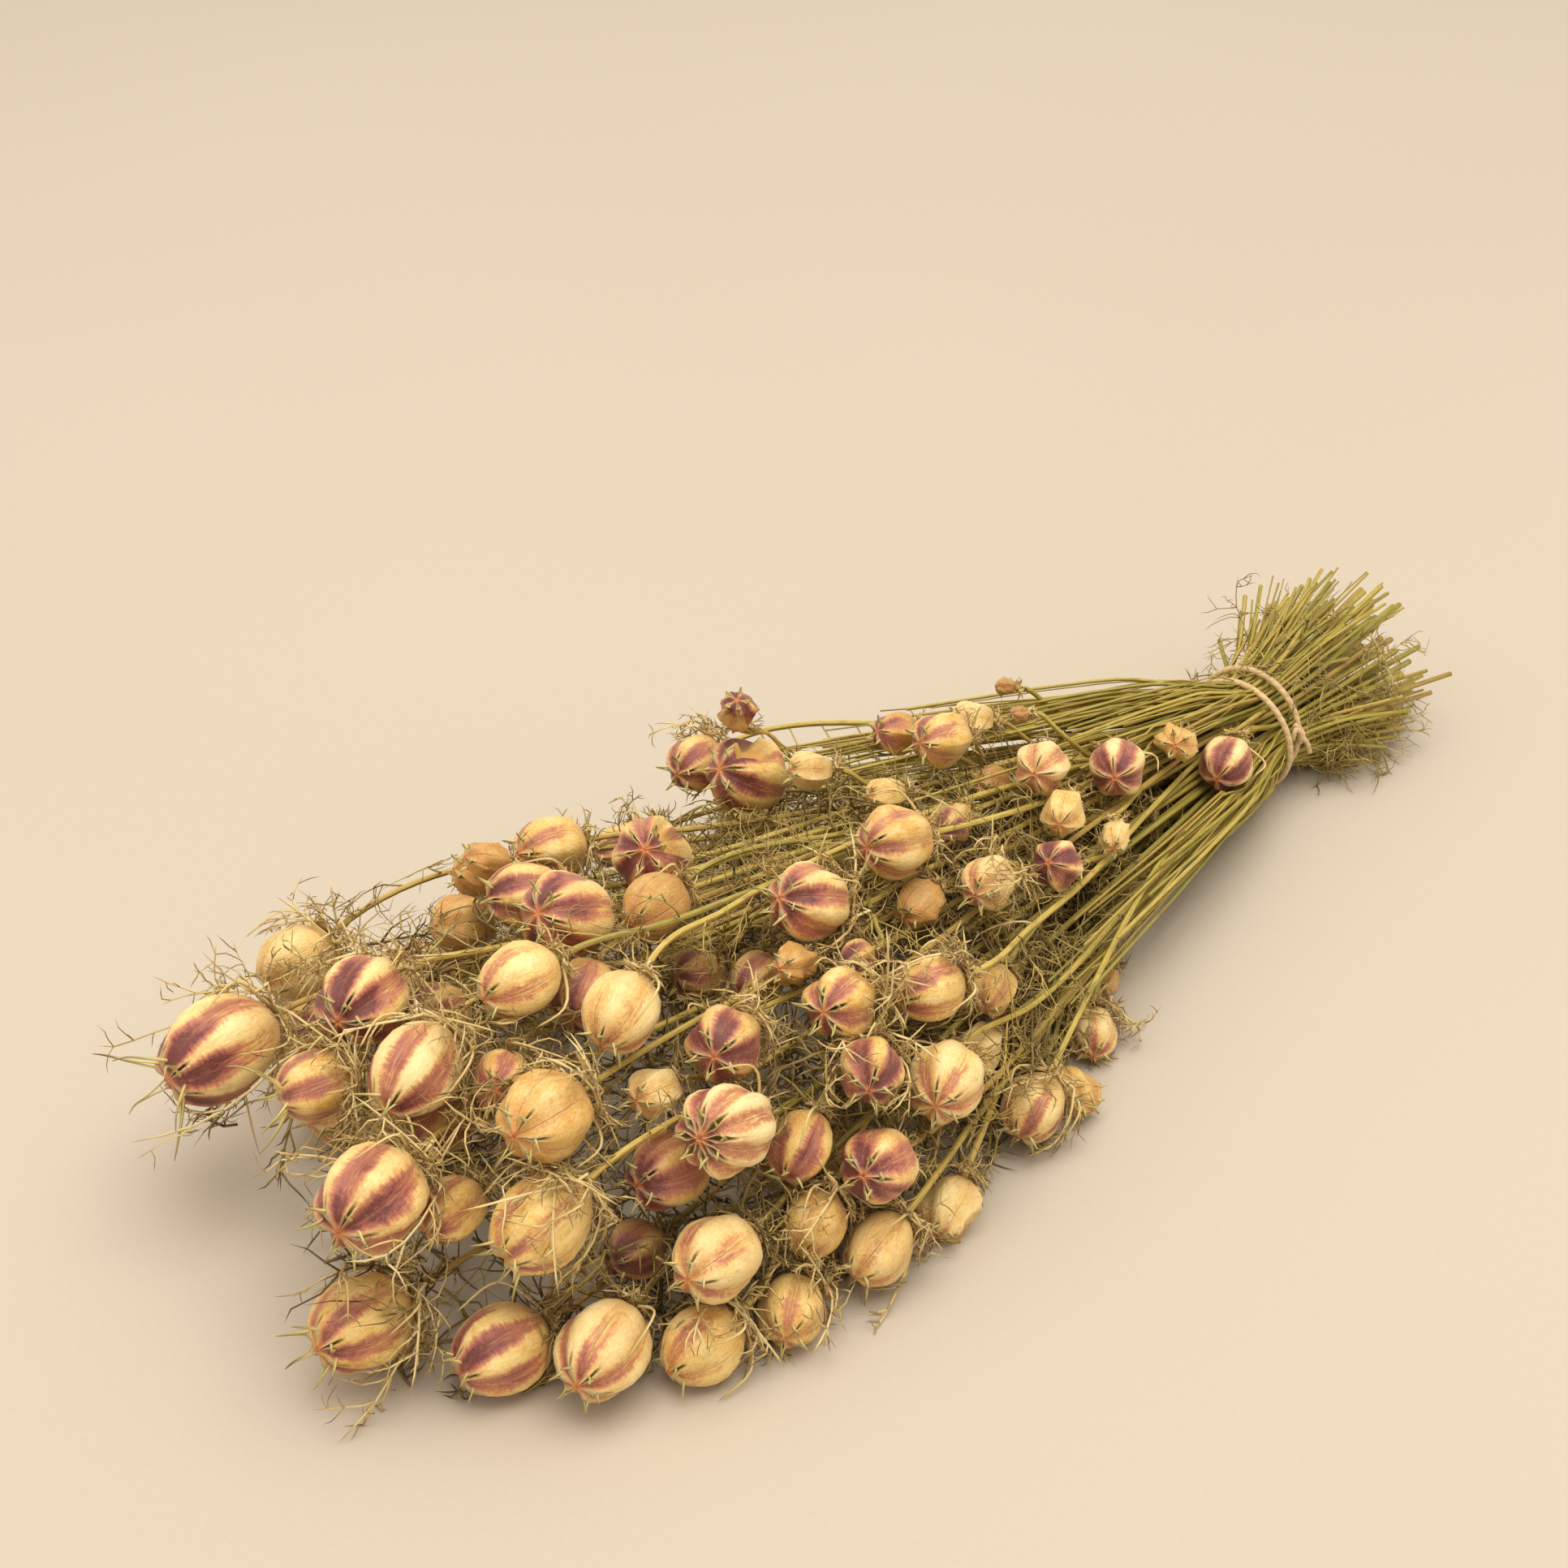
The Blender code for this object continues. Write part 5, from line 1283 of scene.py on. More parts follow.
def thread_material():
    """Fine dry leaf threads: cream where they are thick, then straw and olive, with purple-brown tips, and
    painted shade that darkens the threads deep in the heap
    """
    n = Nodes("dry_thread")
    coords = n.attribute("skin")
    _, along, _ = n.parts(n.attribute("lobe"))
    deep = n.parts(n.attribute("mark"))[0]
    olive, brown, cream = n.parts(n.attribute("look"))
    patch = n.noise(coords, 0.5, 3.0, 0.6)
    base = n.mix(olive, (0.62, 0.42, 0.11), (0.38, 0.295, 0.042))
    base = n.mix(n.times(cream, n.span(along, 0.95, 0.2)), base, (0.86, 0.70, 0.36))
    base = n.mix(n.span(patch, 0.35, 0.7, 0.0, 0.5), base, (0.64, 0.46, 0.15))
    tip = n.times(brown, n.span(along, 0.35, 0.9))
    colour = n.mix(tip, base, (0.135, 0.055, 0.045))
    # Painted shade: each thread is darkened towards near-black brown by its deep value
    colour = n.mix(deep, colour, (0.095, 0.058, 0.016))
    return n.finish(colour, n.span(patch, 0.3, 0.7, 0.7, 0.5), n.bump(patch, 0.3, 0.0001))


def horn_material():
    """Horns: olive green from a yellow foot, pale ribs, brown dry tips"""
    n = Nodes("pod_horn")
    coords = n.attribute("skin")
    along = n.parts(n.attribute("lobe"))[1]
    brown = n.parts(n.attribute("look"))[1]
    streak = n.noise(n.scaled(coords, (3.0, 3.0, 0.4)), 2.0, 3.0, 0.6)
    colour = n.ramp(along, (0.0, (0.78, 0.54, 0.19)), (0.25, (0.66, 0.53, 0.19)), (0.5, (0.46, 0.40, 0.10)),
                    (0.9, (0.56, 0.46, 0.16)))
    colour = n.mix(n.span(streak, 0.4, 0.75, 0.0, 0.6), colour, (0.66, 0.60, 0.32))
    colour = n.mix(n.times(brown, n.span(along, 0.35, 0.95)), colour, (0.17, 0.085, 0.05))
    return n.finish(colour, n.span(streak, 0.3, 0.7, 0.6, 0.42), n.bump(streak, 0.4, 0.00015))


def tie_material():
    """Tan twine: fine twisted fibres with a soft sheen and painted shade in the grooves between the plies"""
    n = Nodes("twine")
    coords = n.attribute("skin")
    along = n.parts(coords)[2]
    round_angle = n.parts(n.attribute("lobe"))[0]
    ply = n.math("SINE", n.times(n.plus(along, round_angle), 6.2832))
    fibre = n.noise(n.scaled(coords, (6.0, 6.0, 1.5)), 3.0, 4.0, 0.65)
    colour = n.ramp(fibre, (0.3, (0.50, 0.31, 0.12)), (0.5, (0.74, 0.53, 0.26)), (0.7, (0.88, 0.70, 0.42)))
    # Painted shade: darker in the grooves between the plies
    colour = n.mix(n.span(ply, -1.0, -0.2, 0.30, 0.0), colour, (0.40, 0.23, 0.09))
    height = n.plus(n.times(ply, 0.5), n.times(fibre, 0.7))
    return n.finish(colour, n.span(fibre, 0.3, 0.7, 0.72, 0.5), n.bump(height, 0.6, 0.0003),
                    Sheen_Weight=0.15)


def floor_material():
    """Pale warm paper"""
    n = Nodes("floor_paper")
    coords = n.new("ShaderNodeTexCoord").outputs["Object"]
    grain = n.noise(coords, 420.0, 3.0, 0.6)
    wide = n.noise(coords, 1.5, 2.0, 0.5)
    colour = n.ramp(n.plus(n.times(grain, 0.25), n.times(wide, 0.75)),
                    (0.35, (0.530, 0.462, 0.366)), (0.65, (0.552, 0.486, 0.389)))
    return n.finish(colour, n.span(grain, 0.3, 0.7, 0.9, 0.8), n.bump(grain, 0.05, 0.0002))


def add_pod(skin, pod, looks, rng):
    """A pod: rounded lobes that meet in grooves, a crest and a slit with raised lips up each lobe"""
    purple, pale, dark, opening, hollow = looks
    beak, deep = rng.uniform(0.0, 0.16), rng.uniform(*DEEP)
    deep = DEEPER.get(pod["name"], deep)
    n, r, length = pod["lobes"], pod["r"], pod["long"]
    along, wide, groove, value, slit = np.array(POD_RINGS).T
    m = len(along)
    lip = np.maximum(LIP_REST, opening * slit)
    stops = [np.zeros(m), lip * 0.45, lip, lip + 0.14, (lip + 1.14) / 2]
    u = np.stack([-np.ones(m), -stops[4], -stops[3], -stops[2], -stops[1], stops[0], stops[1], stops[2],
                  stops[3], stops[4]], axis=1)
    columns = u.shape[1]
    u = np.tile(u, (1, n))
    lobe = np.repeat(np.arange(n), columns)
    angle = 2 * math.pi * (lobe[None, :] + u / 2) / n
    away = np.abs(u)
    kind = np.tile([0, 0, 0, 2, 1, 1, 1, 2, 0, 0], n)[None, :]
    valley = (1 - np.cos(math.pi * away)) / 2 * (1 - NOTCH) + (1 - np.sqrt(1 - 0.97 * away ** 2)) * NOTCH
    corner = math.cos(math.pi / n) / np.cos(math.pi / n * (1 - away))
    sharp = np.interp(r, CORNERED, (0.95, 0.0)) if pod["kind"] == "s" else 0.0
    far = r * wide[:, None] * (1 - deep * groove[:, None] * valley * (1 - sharp))
    far = far * (1 - sharp + sharp * corner)
    high = length * along[:, None] * np.ones_like(u)
    crown = np.clip((value - 0.80) / 0.2, 0, 1)[:, None] * np.clip(wide / 0.3, 0, 1)[:, None]
    high = high - crown * valley * length * 0.12
    high = high + beak * r * np.exp(-(wide[:, None] / 0.15) ** 2)
    sunk = (kind == 1) * (0.10 + 0.20 * opening) * (1 - 0.35 * (away > 0.01))
    raised = slit[:, None] * ((kind == 2) * 0.06 - sunk)
    high = high + raised * r
    far = far + raised * r * 0.5
    swell = np.zeros_like(u)
    for k in range(1, 5):
        phase, tilt = rng.uniform(0, 6.28), rng.uniform(-2, 2)
        swell += np.sin(k * angle + phase + tilt * along[:, None] * 2) * 0.017
    swell += rng.uniform(-0.035, 0.025, n)[lobe][None, :] * (1 - away)
    for k in range(DENTS):
        a, h, size = rng.uniform(0, 6.28), rng.uniform(-0.8, 0.7), rng.uniform(3, 14)
        near = np.exp(-((1 - np.cos(angle - a)) * 2 + (along[:, None] - h) ** 2) * size)
        swell += near * rng.uniform(-0.07, 0.03)
    if pod["kind"] == "w":
        swell += withered(angle, along, rng)
    body = np.clip(wide, 0, 1)[:, None] ** 0.5
    far = far * (1 + swell * body)
    e1, e2 = side_axes(pod["axis"], pod["roll"])
    torn = np.zeros_like(u)
    if pod["name"] in TORN:
        torn = tear(pod, angle, along, e1, e2, rng)
        far = far * (1 - torn * 0.42)
        high = high - torn * length * 0.05
    local = np.stack([np.cos(angle) * far, np.sin(angle) * far, high], axis=-1)
    points = pod["middle"] + local[..., :1] * e1 + local[..., 1:2] * e2 + local[..., 2:] * pod["axis"]
    points = points.reshape(-1, 3)
    drop = points[:, 2].min()
    if drop < FLOOR_REACH:
        points[:, 2] -= drop + FLOOR_DIP
        points[:, 2] = np.maximum(points[:, 2], 0.0001)
    total = n * columns
    seed = rng.random()
    lips = (kind == 2) * slit[:, None] + (away < 0.01) * np.clip(1 - slit, 0, 1)[:, None] * (
        value[:, None] > 0.62) * CREST_LINE
    opened = np.maximum((kind == 1) * (slit[:, None] > 0.05), torn)
    marks = np.stack([opened, lips * (1 - torn), np.where(torn > 0.3, -1.0, hollow)], axis=-1).reshape(-1, 3)
    lobes = np.stack([away, value[:, None] * np.ones_like(u), np.full_like(u, seed)], axis=-1).reshape(-1, 3)
    coords = local.reshape(-1, 3) / [r, r, length] + seed * 40
    ends = np.array([pod["middle"] - pod["axis"] * length * 0.93,
                     pod["middle"] + pod["axis"] * length * CROWN_DIP])
    ends[:, 2] = np.maximum(ends[:, 2], 0.0002)
    skin.add(np.vstack([points, ends]), [ring_faces(m, total), end_caps(m, total)], SKIN,
             lobe=np.vstack([lobes, [[0.5, 0, seed], [0.3, 1, seed]]]),
             mark=np.vstack([marks, np.zeros((2, 3))]), look=(purple, pale, dark),
             skin=np.vstack([coords, np.array([[0, 0, -1], [0, 0, 1]]) + seed * 40]))


def withered(angle, along, rng):
    """Swell of a dried-out pod: crossing folds and deep hollows"""
    swell = np.full_like(angle, -0.06)
    for turns in (1, 2, 3, 4):
        phase, tilt = rng.uniform(0, 6.28), rng.uniform(-2.5, 2.5)
        crease = 1 - np.abs(np.sin(turns * angle + phase + tilt * along[:, None]))
        swell += (crease ** 2.5 - 0.3) * WITHER / turns ** 0.6
    for k in range(5):
        a, h = rng.uniform(0, 6.28), rng.uniform(-0.6, 0.6)
        near = np.exp(-((np.cos(angle - a) - 1) ** 2 * 6 + (along[:, None] - h) ** 2 * 6))
        swell -= near * rng.uniform(0.08, 0.24)
    return swell


def tear(pod, angle, along, e1, e2, rng):
    """How far each point of a torn pod lies inside the hole, with a ragged edge"""
    _, look, right, up, _ = view()
    x, y, z, place, size = TORN[pod["name"]]
    toward = right * x + up * y - look * z
    middle = math.atan2(float(toward @ e2), float(toward @ e1))
    ragged = sum(np.sin(angle * k + rng.uniform(0, 6.28)) * 0.07 for k in (4, 7, 11))
    far = np.hypot(np.angle(np.exp(1j * (angle - middle))) * 0.8, (along[:, None] - place) * 1.25)
    return np.clip((size + ragged - far) / 0.09, 0, 1)


def add_horn(skin, pod, tip, rng, longer):
    """A horn: two thin blades that rise from the lips of the slit, meet and end in one dry tip"""
    middle, axis = pod["middle"], pod["axis"]
    rel = tip - middle
    radial = unit(rel - axis * (rel @ axis))
    root = middle + axis * pod["long"] * 0.82 + radial * pod["r"] * 0.40
    size = np.linalg.norm(tip - root)
    reach = root + (tip - root) * (1 + longer)
    size = size * (1 + longer)
    side = np.cross(axis, radial)
    bow = radial * rng.uniform(-0.05, 0.22) + side * rng.uniform(-0.2, 0.2)
    bow = bow + axis * rng.uniform(-0.05, 0.14)
    drop = np.array([0, 0, -1]) * size * max(longer, 0) * rng.uniform(0.05, 0.3)
    seed, brown = rng.random(), rng.uniform(0.1, 1.0)
    for sign in (-1, 1):
        foot = root + side * sign * HORN_FOOT * pod["r"]
        way = smooth_way([foot, root * 0.62 + reach * 0.38 + bow * size * 0.45 + side * sign * 0.0003,
                          reach * 0.82 + root * 0.18 + bow * size * 0.3 + side * sign * 0.00012,
                          reach + drop], HORN_STEP)
        n = len(way)
        way[:, 2] = np.maximum(way[:, 2], 0.0005)
        t = np.linspace(0, 1, n)
        radii = np.interp(t, [0, 0.15, 0.4, 0.8, 1], HORN_RADII)
        rings, _ = tube_rings(way, HORN_SIDES)
        points = way[:, None, :] + rings * (radii[:, None] * (1 - 0.4 * np.abs(rings @ side)))[:, :, None]
        along = np.repeat(t, HORN_SIDES)
        lobe = np.stack([np.tile([1.0, 0.5, 0.0, 0.0, 0.5], n), along, np.full_like(along, seed)], axis=1)
        k = np.arange(HORN_SIDES)
        last = (n - 1) * HORN_SIDES
        cap = np.stack([last + k, last + (k + 1) % HORN_SIDES, np.full(HORN_SIDES, n * HORN_SIDES)], axis=1)
        under = np.array([[2, 1, 0], [3, 2, 0], [4, 3, 0]])
        coords = np.stack([np.tile(np.cos(k), n), np.tile(np.sin(k), n), along * 8 + seed * 90], axis=1)
        skin.add(np.vstack([points.reshape(-1, 3), way[-1:]]), [ring_faces(n, HORN_SIDES), under, cap], HORN,
                 lobe=np.vstack([lobe, [[0.5, 1, seed]]]), look=(0, brown, 0),
                 skin=np.vstack([coords, coords[-1:]]))


def tapered(ways, ends):
    """Radii along the ways, from the one at the root to the one at the tip"""
    return np.broadcast_to(np.linspace(*ends, ways.shape[1]), ways.shape[:2])


def add_bracts(skin, pod, room, rng):
    """The whorl of forked bracts that wraps a pod like a net"""
    arms, reach, forks, small, hug = BRACTS[pod["kind"]]
    thick = 0.8 + 0.2 * (pod["r"] / 0.0135)
    axis, middle, length = pod["axis"], pod["middle"], pod["long"]
    turn = rng.uniform(0, 6.28)
    angle = turn + 2 * math.pi * np.arange(arms) / arms + rng.normal(size=arms) * 0.2
    e1, e2 = side_axes(axis, pod["roll"])
    radial = np.cos(angle)[:, None] * e1 + np.sin(angle)[:, None] * e2
    root = middle - axis * (length * 0.97 + 0.002)
    starts = np.repeat(root[None], arms, axis=0) + radial * 0.0006
    long = length * reach * rng.uniform(0.8, 1.25, arms)
    margin = rng.uniform(0.0006, 0.0024, arms)
    heads = radial * 1.2 + axis * (rng.uniform(-0.1, 0.5, (arms, 1)) + hug)
    ways = grow(room, starts, heads, long * (0.35 - hug * 0.2), 3, 0.10, rng, margin)
    heads = ways[:, -1] - ways[:, -2] + axis * 0.6 - radial * 0.25
    more = grow(room, ways[:, -1], heads, long * (0.75 + hug * 1.2), 6, 0.10, rng, margin, pull=-radial * hug)
    ways = np.concatenate([ways, more[:, 1:]], axis=1)
    shade = np.stack([rng.uniform(0, 0.4, arms), np.full(arms, 0.0), rng.uniform(0.7, 1.0, arms)], axis=1)
    add_threads(skin, ways, tapered(ways, BRACT_RADII[0]) * thick, shade, 0.0, 0.45)
    flat = ways.mean(axis=1) - middle
    starts, heads, own = fork(ways, (2, 4, 6, 7)[:forks], 0.75, flat, rng)
    count = len(starts)
    lengths = length * rng.uniform(0.4, 0.9, count) * (0.6 + 0.4 * reach)
    second = grow(room, starts, heads, lengths, 4, 0.30, rng, rng.uniform(0.0005, 0.0026, count), kink=0.2,
                  pull=units(middle - starts) * hug)
    browner = np.stack([rng.uniform(-.2, .3, count), np.full(count, 0.3), np.zeros(count)], axis=1)
    shade = shade[own] + browner
    add_threads(skin, second, tapered(second, BRACT_RADII[1]), np.clip(shade, 0, 1), 0.30, 0.75)
    flat = second.mean(axis=1) - middle
    starts, heads, own = fork(second, (1, 2, 3), 0.8, flat, rng)
    keep = rng.random(len(starts)) < small
    starts, heads, own = starts[keep], heads[keep], own[keep]
    count = len(starts)
    lengths = length * rng.uniform(0.2, 0.6, count)
    third = grow(room, starts, heads, lengths, 3, 0.4, rng, rng.uniform(0.0004, 0.0022, count), kink=0.25,
                 pull=units(middle - starts) * hug)
    browner = np.stack([np.zeros(count), rng.uniform(0.1, 0.7, count), np.zeros(count)], axis=1)
    add_threads(skin, third, tapered(third, BRACT_RADII[2]), np.clip(shade[own] + browner, 0, 1), 0.50, 1.0)


def leaf_places(stem, rng):
    """Where leaves leave a stem, and the way the stem runs there; fewer near the tie"""
    way = smooth_way(stem["route"], LEAF_STEP)
    far = TIE_X - way[:, 0]
    good = np.nonzero((far > LEAF_START) & (np.arange(len(way)) < len(way) - 3))[0]
    picks = good[::LEAF_EVERY]
    picks = picks[rng.random(len(picks)) < np.interp(far[picks], LEAF_FADE, (0.25, 1.0))]
    return way[picks], units(way[np.minimum(picks + 1, len(way) - 1)] - way[picks - 1])


def add_leaves(skin, starts, alongs, room, rng, size=LEAF_LENGTH, droop=0.02, green=0.5, lean=(0.7, 1.8),
               curl=1.0, limit=True):
    """Feathery leaves: a midrib, curling side threads on both sides and short forks on those"""
    n = len(starts)
    stray = rng.normal(size=(n, 3))
    out = units(stray - alongs * (stray * alongs).sum(axis=1, keepdims=True))
    heads = alongs * rng.uniform(*lean, (n, 1)) + out
    lengths = rng.uniform(*size, n) * np.interp(TIE_X - starts[:, 0], LEAF_FADE, (0.6, 1.0))
    olive = np.clip(rng.normal(green, 0.3, n), 0, 1)
    shade = np.stack([olive, rng.uniform(0, 0.5, n), rng.uniform(0, 0.9, n) ** 2], axis=1)
    slack = rng.uniform(*HEAP_SLACK, n)
    # Painted shade: a random amount of darkening on each leaf
    deep = rng.uniform(0, 0.7, n) ** 1.5

    def held(own):
        return slack[own] if limit else None

    ribs = grow(room, starts, heads, lengths, 6, 0.16 * curl, rng, rng.uniform(*RIB_MARGIN, n), sag=droop,
                kink=0.1 * curl, slack=held(slice(None)))
    add_threads(skin, ribs, tapered(ribs, LEAF_RADII[0]), shade, 0.0, 0.6, deep)
    flat = np.cross(alongs, out) + rng.normal(size=(n, 3)) * 0.3
    starts, heads, own = fork(ribs, (2, 3, 5), 0.7, flat, rng)
    m = len(starts)
    part = np.repeat((1.0, 0.85, 0.6), 2 * n)
    sizes = lengths[own] * 0.50 * part * rng.uniform(0.6, 1.4, m)
    second = grow(room, starts, heads, sizes, 4, 0.34 * curl, rng, rng.uniform(*SIDE_MARGIN, m), sag=droop,
                  kink=0.15, slack=held(own))
    add_threads(skin, second, tapered(second, LEAF_RADII[1]), shade[own], 0.35, 0.9, deep[own])
    starts, heads, second_own = fork(second, (1, 2), 0.7, flat[own], rng)
    keep = rng.random(len(starts)) < LEAF_FORKS
    starts, heads, last = starts[keep], heads[keep], own[second_own[keep]]
    m = len(starts)
    lengths = lengths[last] * 0.24 * rng.uniform(0.5, 1.5, m)
    third = grow(room, starts, heads, lengths, 3, 0.4 * curl, rng, rng.uniform(*SIDE_MARGIN, m), sag=droop,
                 slack=held(last))
    add_threads(skin, third, tapered(third, LEAF_RADII[2]), shade[last], 0.5, 1.0, deep[last])


def stem_piece(name, stem, room, materials, rng):
    """One stem with its shoots, pods, horns and bracts"""
    skin = Skin()
    for item in [stem] + stem["shoots"]:
        main = item is stem
        pod = item["pod"]
        looks = LOOKS.get(pod["name"])
        if looks is None:
            looks = (rng.uniform(0.35, 1.0), rng.uniform(-0.4, 0.5), rng.uniform(0, 0.15),
                     rng.uniform(0.1, 0.3), float(rng.random() < 0.2))
        way = thin_out(smooth_way(item["route"], STEM_STEP), [-4, -3, -2], 0.00006)
        way[:, 2] = np.maximum(way[:, 2], 0.0012)
        t = np.linspace(0, 1, len(way))
        far = TIE_X - way[:, 0]
        green = np.interp(far, [-0.09, 0.0, 0.12, 0.30], [0.9, 0.85, 0.45, 0.15])
        green = np.clip(green + rng.uniform(-0.2, 0.2), 0, 1)
        top = STEM_RADIUS if main else BRANCH_RADIUS
        radii = top * (1.04 - 0.12 * t)
        radii[-3:] *= [1.08, 1.3, 1.5]
        add_stalk(skin, way, radii, RIBS["stem" if main else "shoot"], green, rng.random())
        add_pod(skin, pod, looks, rng)
        longer = HORNS_LONGER.get(pod["name"], rng.uniform(-0.15, 0.05))
        for tip in item["horns"]:
            if tip is not None:
                add_horn(skin, pod, tip, rng, longer)
        add_bracts(skin, pod, room, rng)
        for thread in item["threads"]:
            ways = smooth_way(thread, STEM_STEP)[None]
            add_threads(skin, ways, tapered(ways, BRACT_THREAD), (0.3, 0.3, 0.8), 0.0, 0.7)
    piece = skin.make(name, materials)
    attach(piece, "root")
    return piece


def foliage_pieces(stems, room, materials, rng):
    """The tangle of leaves between the stems, in pieces of a few stems each"""
    for first in range(0, len(stems), STEMS_A_TANGLE):
        skin = Skin()
        starts, alongs = [], []
        for stem in stems[first:first + STEMS_A_TANGLE]:
            for item in [stem] + stem["shoots"]:
                s, a = leaf_places(item, rng)
                starts.append(s)
                alongs.append(a)
        add_leaves(skin, np.concatenate(starts), np.concatenate(alongs), room, rng)
        piece = skin.make(f"foliage_{first // STEMS_A_TANGLE + 1:02d}", materials)
        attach(piece, "root")


def inner_tangle(stems, room, materials, rng):
    """Coarser leaves that fill the inside of the heap down to the floor, darkened with painted shade"""
    skin = Skin()
    items = [item for stem in stems for item in [stem] + stem["shoots"]]
    ways = np.vstack([smooth_way(item["route"], LEAF_STEP)[:-2] for item in items])
    ways = ways[TIE_X - ways[:, 0] > BED_START]
    feet = np.array([item["pod"]["middle"] - item["pod"]["axis"] * item["pod"]["r"] for item in items])
    n = BED_LEAVES
    near = np.where(rng.random((n, 1)) < BED_AT_PODS, feet[rng.integers(0, len(feet), n)],
                    ways[rng.integers(0, len(ways), n)])
    starts = near + rng.normal(size=(n, 3)) * BED_STRAY
    starts[:, 2] *= rng.uniform(0.1, 1.0, n)
    slack = rng.uniform(*BED_SLACK, n)
    starts = room.clear(starts, 0.001, slack)
    heads = rng.normal(size=(n, 3)) * [1.0, 1.0, 0.5]
    shade = np.stack([rng.uniform(0.2, 1.0, n), rng.uniform(0.2, 0.9, n), rng.uniform(0, 0.35, n)], axis=1)
    # Painted shade: how much each leaf inside the heap is darkened
    deep = rng.uniform(0.30, 0.95, n)
    lengths = rng.uniform(*BED_LENGTH, n)
    ribs = grow(room, starts, heads, lengths, 5, 0.26, rng, rng.uniform(*RIB_MARGIN, n), kink=0.2,
                slack=slack)
    add_threads(skin, ribs, tapered(ribs, BED_RADII[0]), shade, 0.0, 0.7, deep)
    flat = rng.normal(size=(n, 3))
    starts, heads, own = fork(ribs, (1, 2, 3, 4), 0.9, flat, rng)
    m = len(starts)
    second = grow(room, starts, heads, lengths[own] * rng.uniform(0.25, 0.6, m), 3, 0.4, rng,
                  rng.uniform(*SIDE_MARGIN, m), kink=0.25, slack=slack[own])
    add_threads(skin, second, tapered(second, BED_RADII[1]), shade[own], 0.3, 1.0, deep[own])
    piece = skin.make("inner_tangle", materials)
    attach(piece, "root")


def hides_a_pod(way, room):
    """Whether a stalk runs before a pod as the picture shows it"""
    middles = room.a + room.d / 2
    rel = way[:, None, :] - middles
    ahead = rel @ np.array(FROM_EYE)
    off = lengths_of(rel - ahead[:, :, None] * np.array(FROM_EYE))[:, :, 0]
    return bool(np.any((ahead < 0) & (off < room.r * 1.05)))


def loose_ends(spread, room, materials, rng):
    """Thin stalks that pass the tie and end behind it, with a curling tangle over the cut ends"""
    skin = Skin()
    tie = np.array([TIE_X, TIE_Y, TIE_Z])
    for k in range(THIN_STALKS):
        turn, far = rng.uniform(0, 6.28), spread * math.sqrt(rng.uniform(0.3, 1.0))
        y, z = far * math.cos(turn), far * math.sin(turn)
        back, front = rng.uniform(0.035, 0.080), rng.uniform(*THIN_FRONT)
        fan = rng.uniform(0.5, 1.05)
        at = tie + [0, y, z]
        end = at + [back, y * fan + rng.normal() * 0.004, z * fan * 0.9 + rng.normal() * 0.004]
        near, beyond, high = heap_at(TIE_X - front)
        wide = rng.uniform(0.70, 0.93)
        head = np.array([TIE_X - front, (near + beyond + (beyond - near) * wide * math.cos(turn)) / 2,
                         high * (0.10 + 0.40 * wide * (1 + math.sin(turn)))])
        way = smooth_way([end, at + [back * 0.45, y * 0.3 * fan, z * 0.3 * fan], at,
                          at * 0.67 + head * 0.33 + [0, y * 0.22, z * 0.22],
                          (at + head) / 2 + [0, y * 0.2, z * 0.2], head], THIN_STEP)
        way = thin_out(room.clear(way, 0.001), [])
        if hides_a_pod(way, room):
            continue
        radius = rng.uniform(0.0003, 0.0010)
        green = np.full(len(way), rng.uniform(0.3, 1.0))
        add_stalk(skin, way, radius * np.linspace(1.0, 0.7, len(way)), RIBS["thin"], green, rng.random())
    starts, alongs = [], []
    for k in range(END_LEAVES):
        turn, far = rng.uniform(0, 6.28), spread * rng.uniform(0.6, 1.2)
        if rng.random() < LOW_TANGLE:
            turn = rng.uniform(3.0, 5.2)
        back = rng.uniform(0.004, 0.056)
        fan = 1 + back * 7
        starts.append(tie + [back, far * math.cos(turn) * fan, far * math.sin(turn) * fan])
        alongs.append(unit(np.array([0.8, rng.normal() * 0.5, rng.normal() * 0.4])))
    add_leaves(skin, room.clear(np.array(starts), 0.001), np.array(alongs), room, rng, END_LENGTH, 0.12, 0.7,
               (0.3, 1.2), 2.4, False)
    piece = skin.make("cut_ends", materials)
    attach(piece, "root")


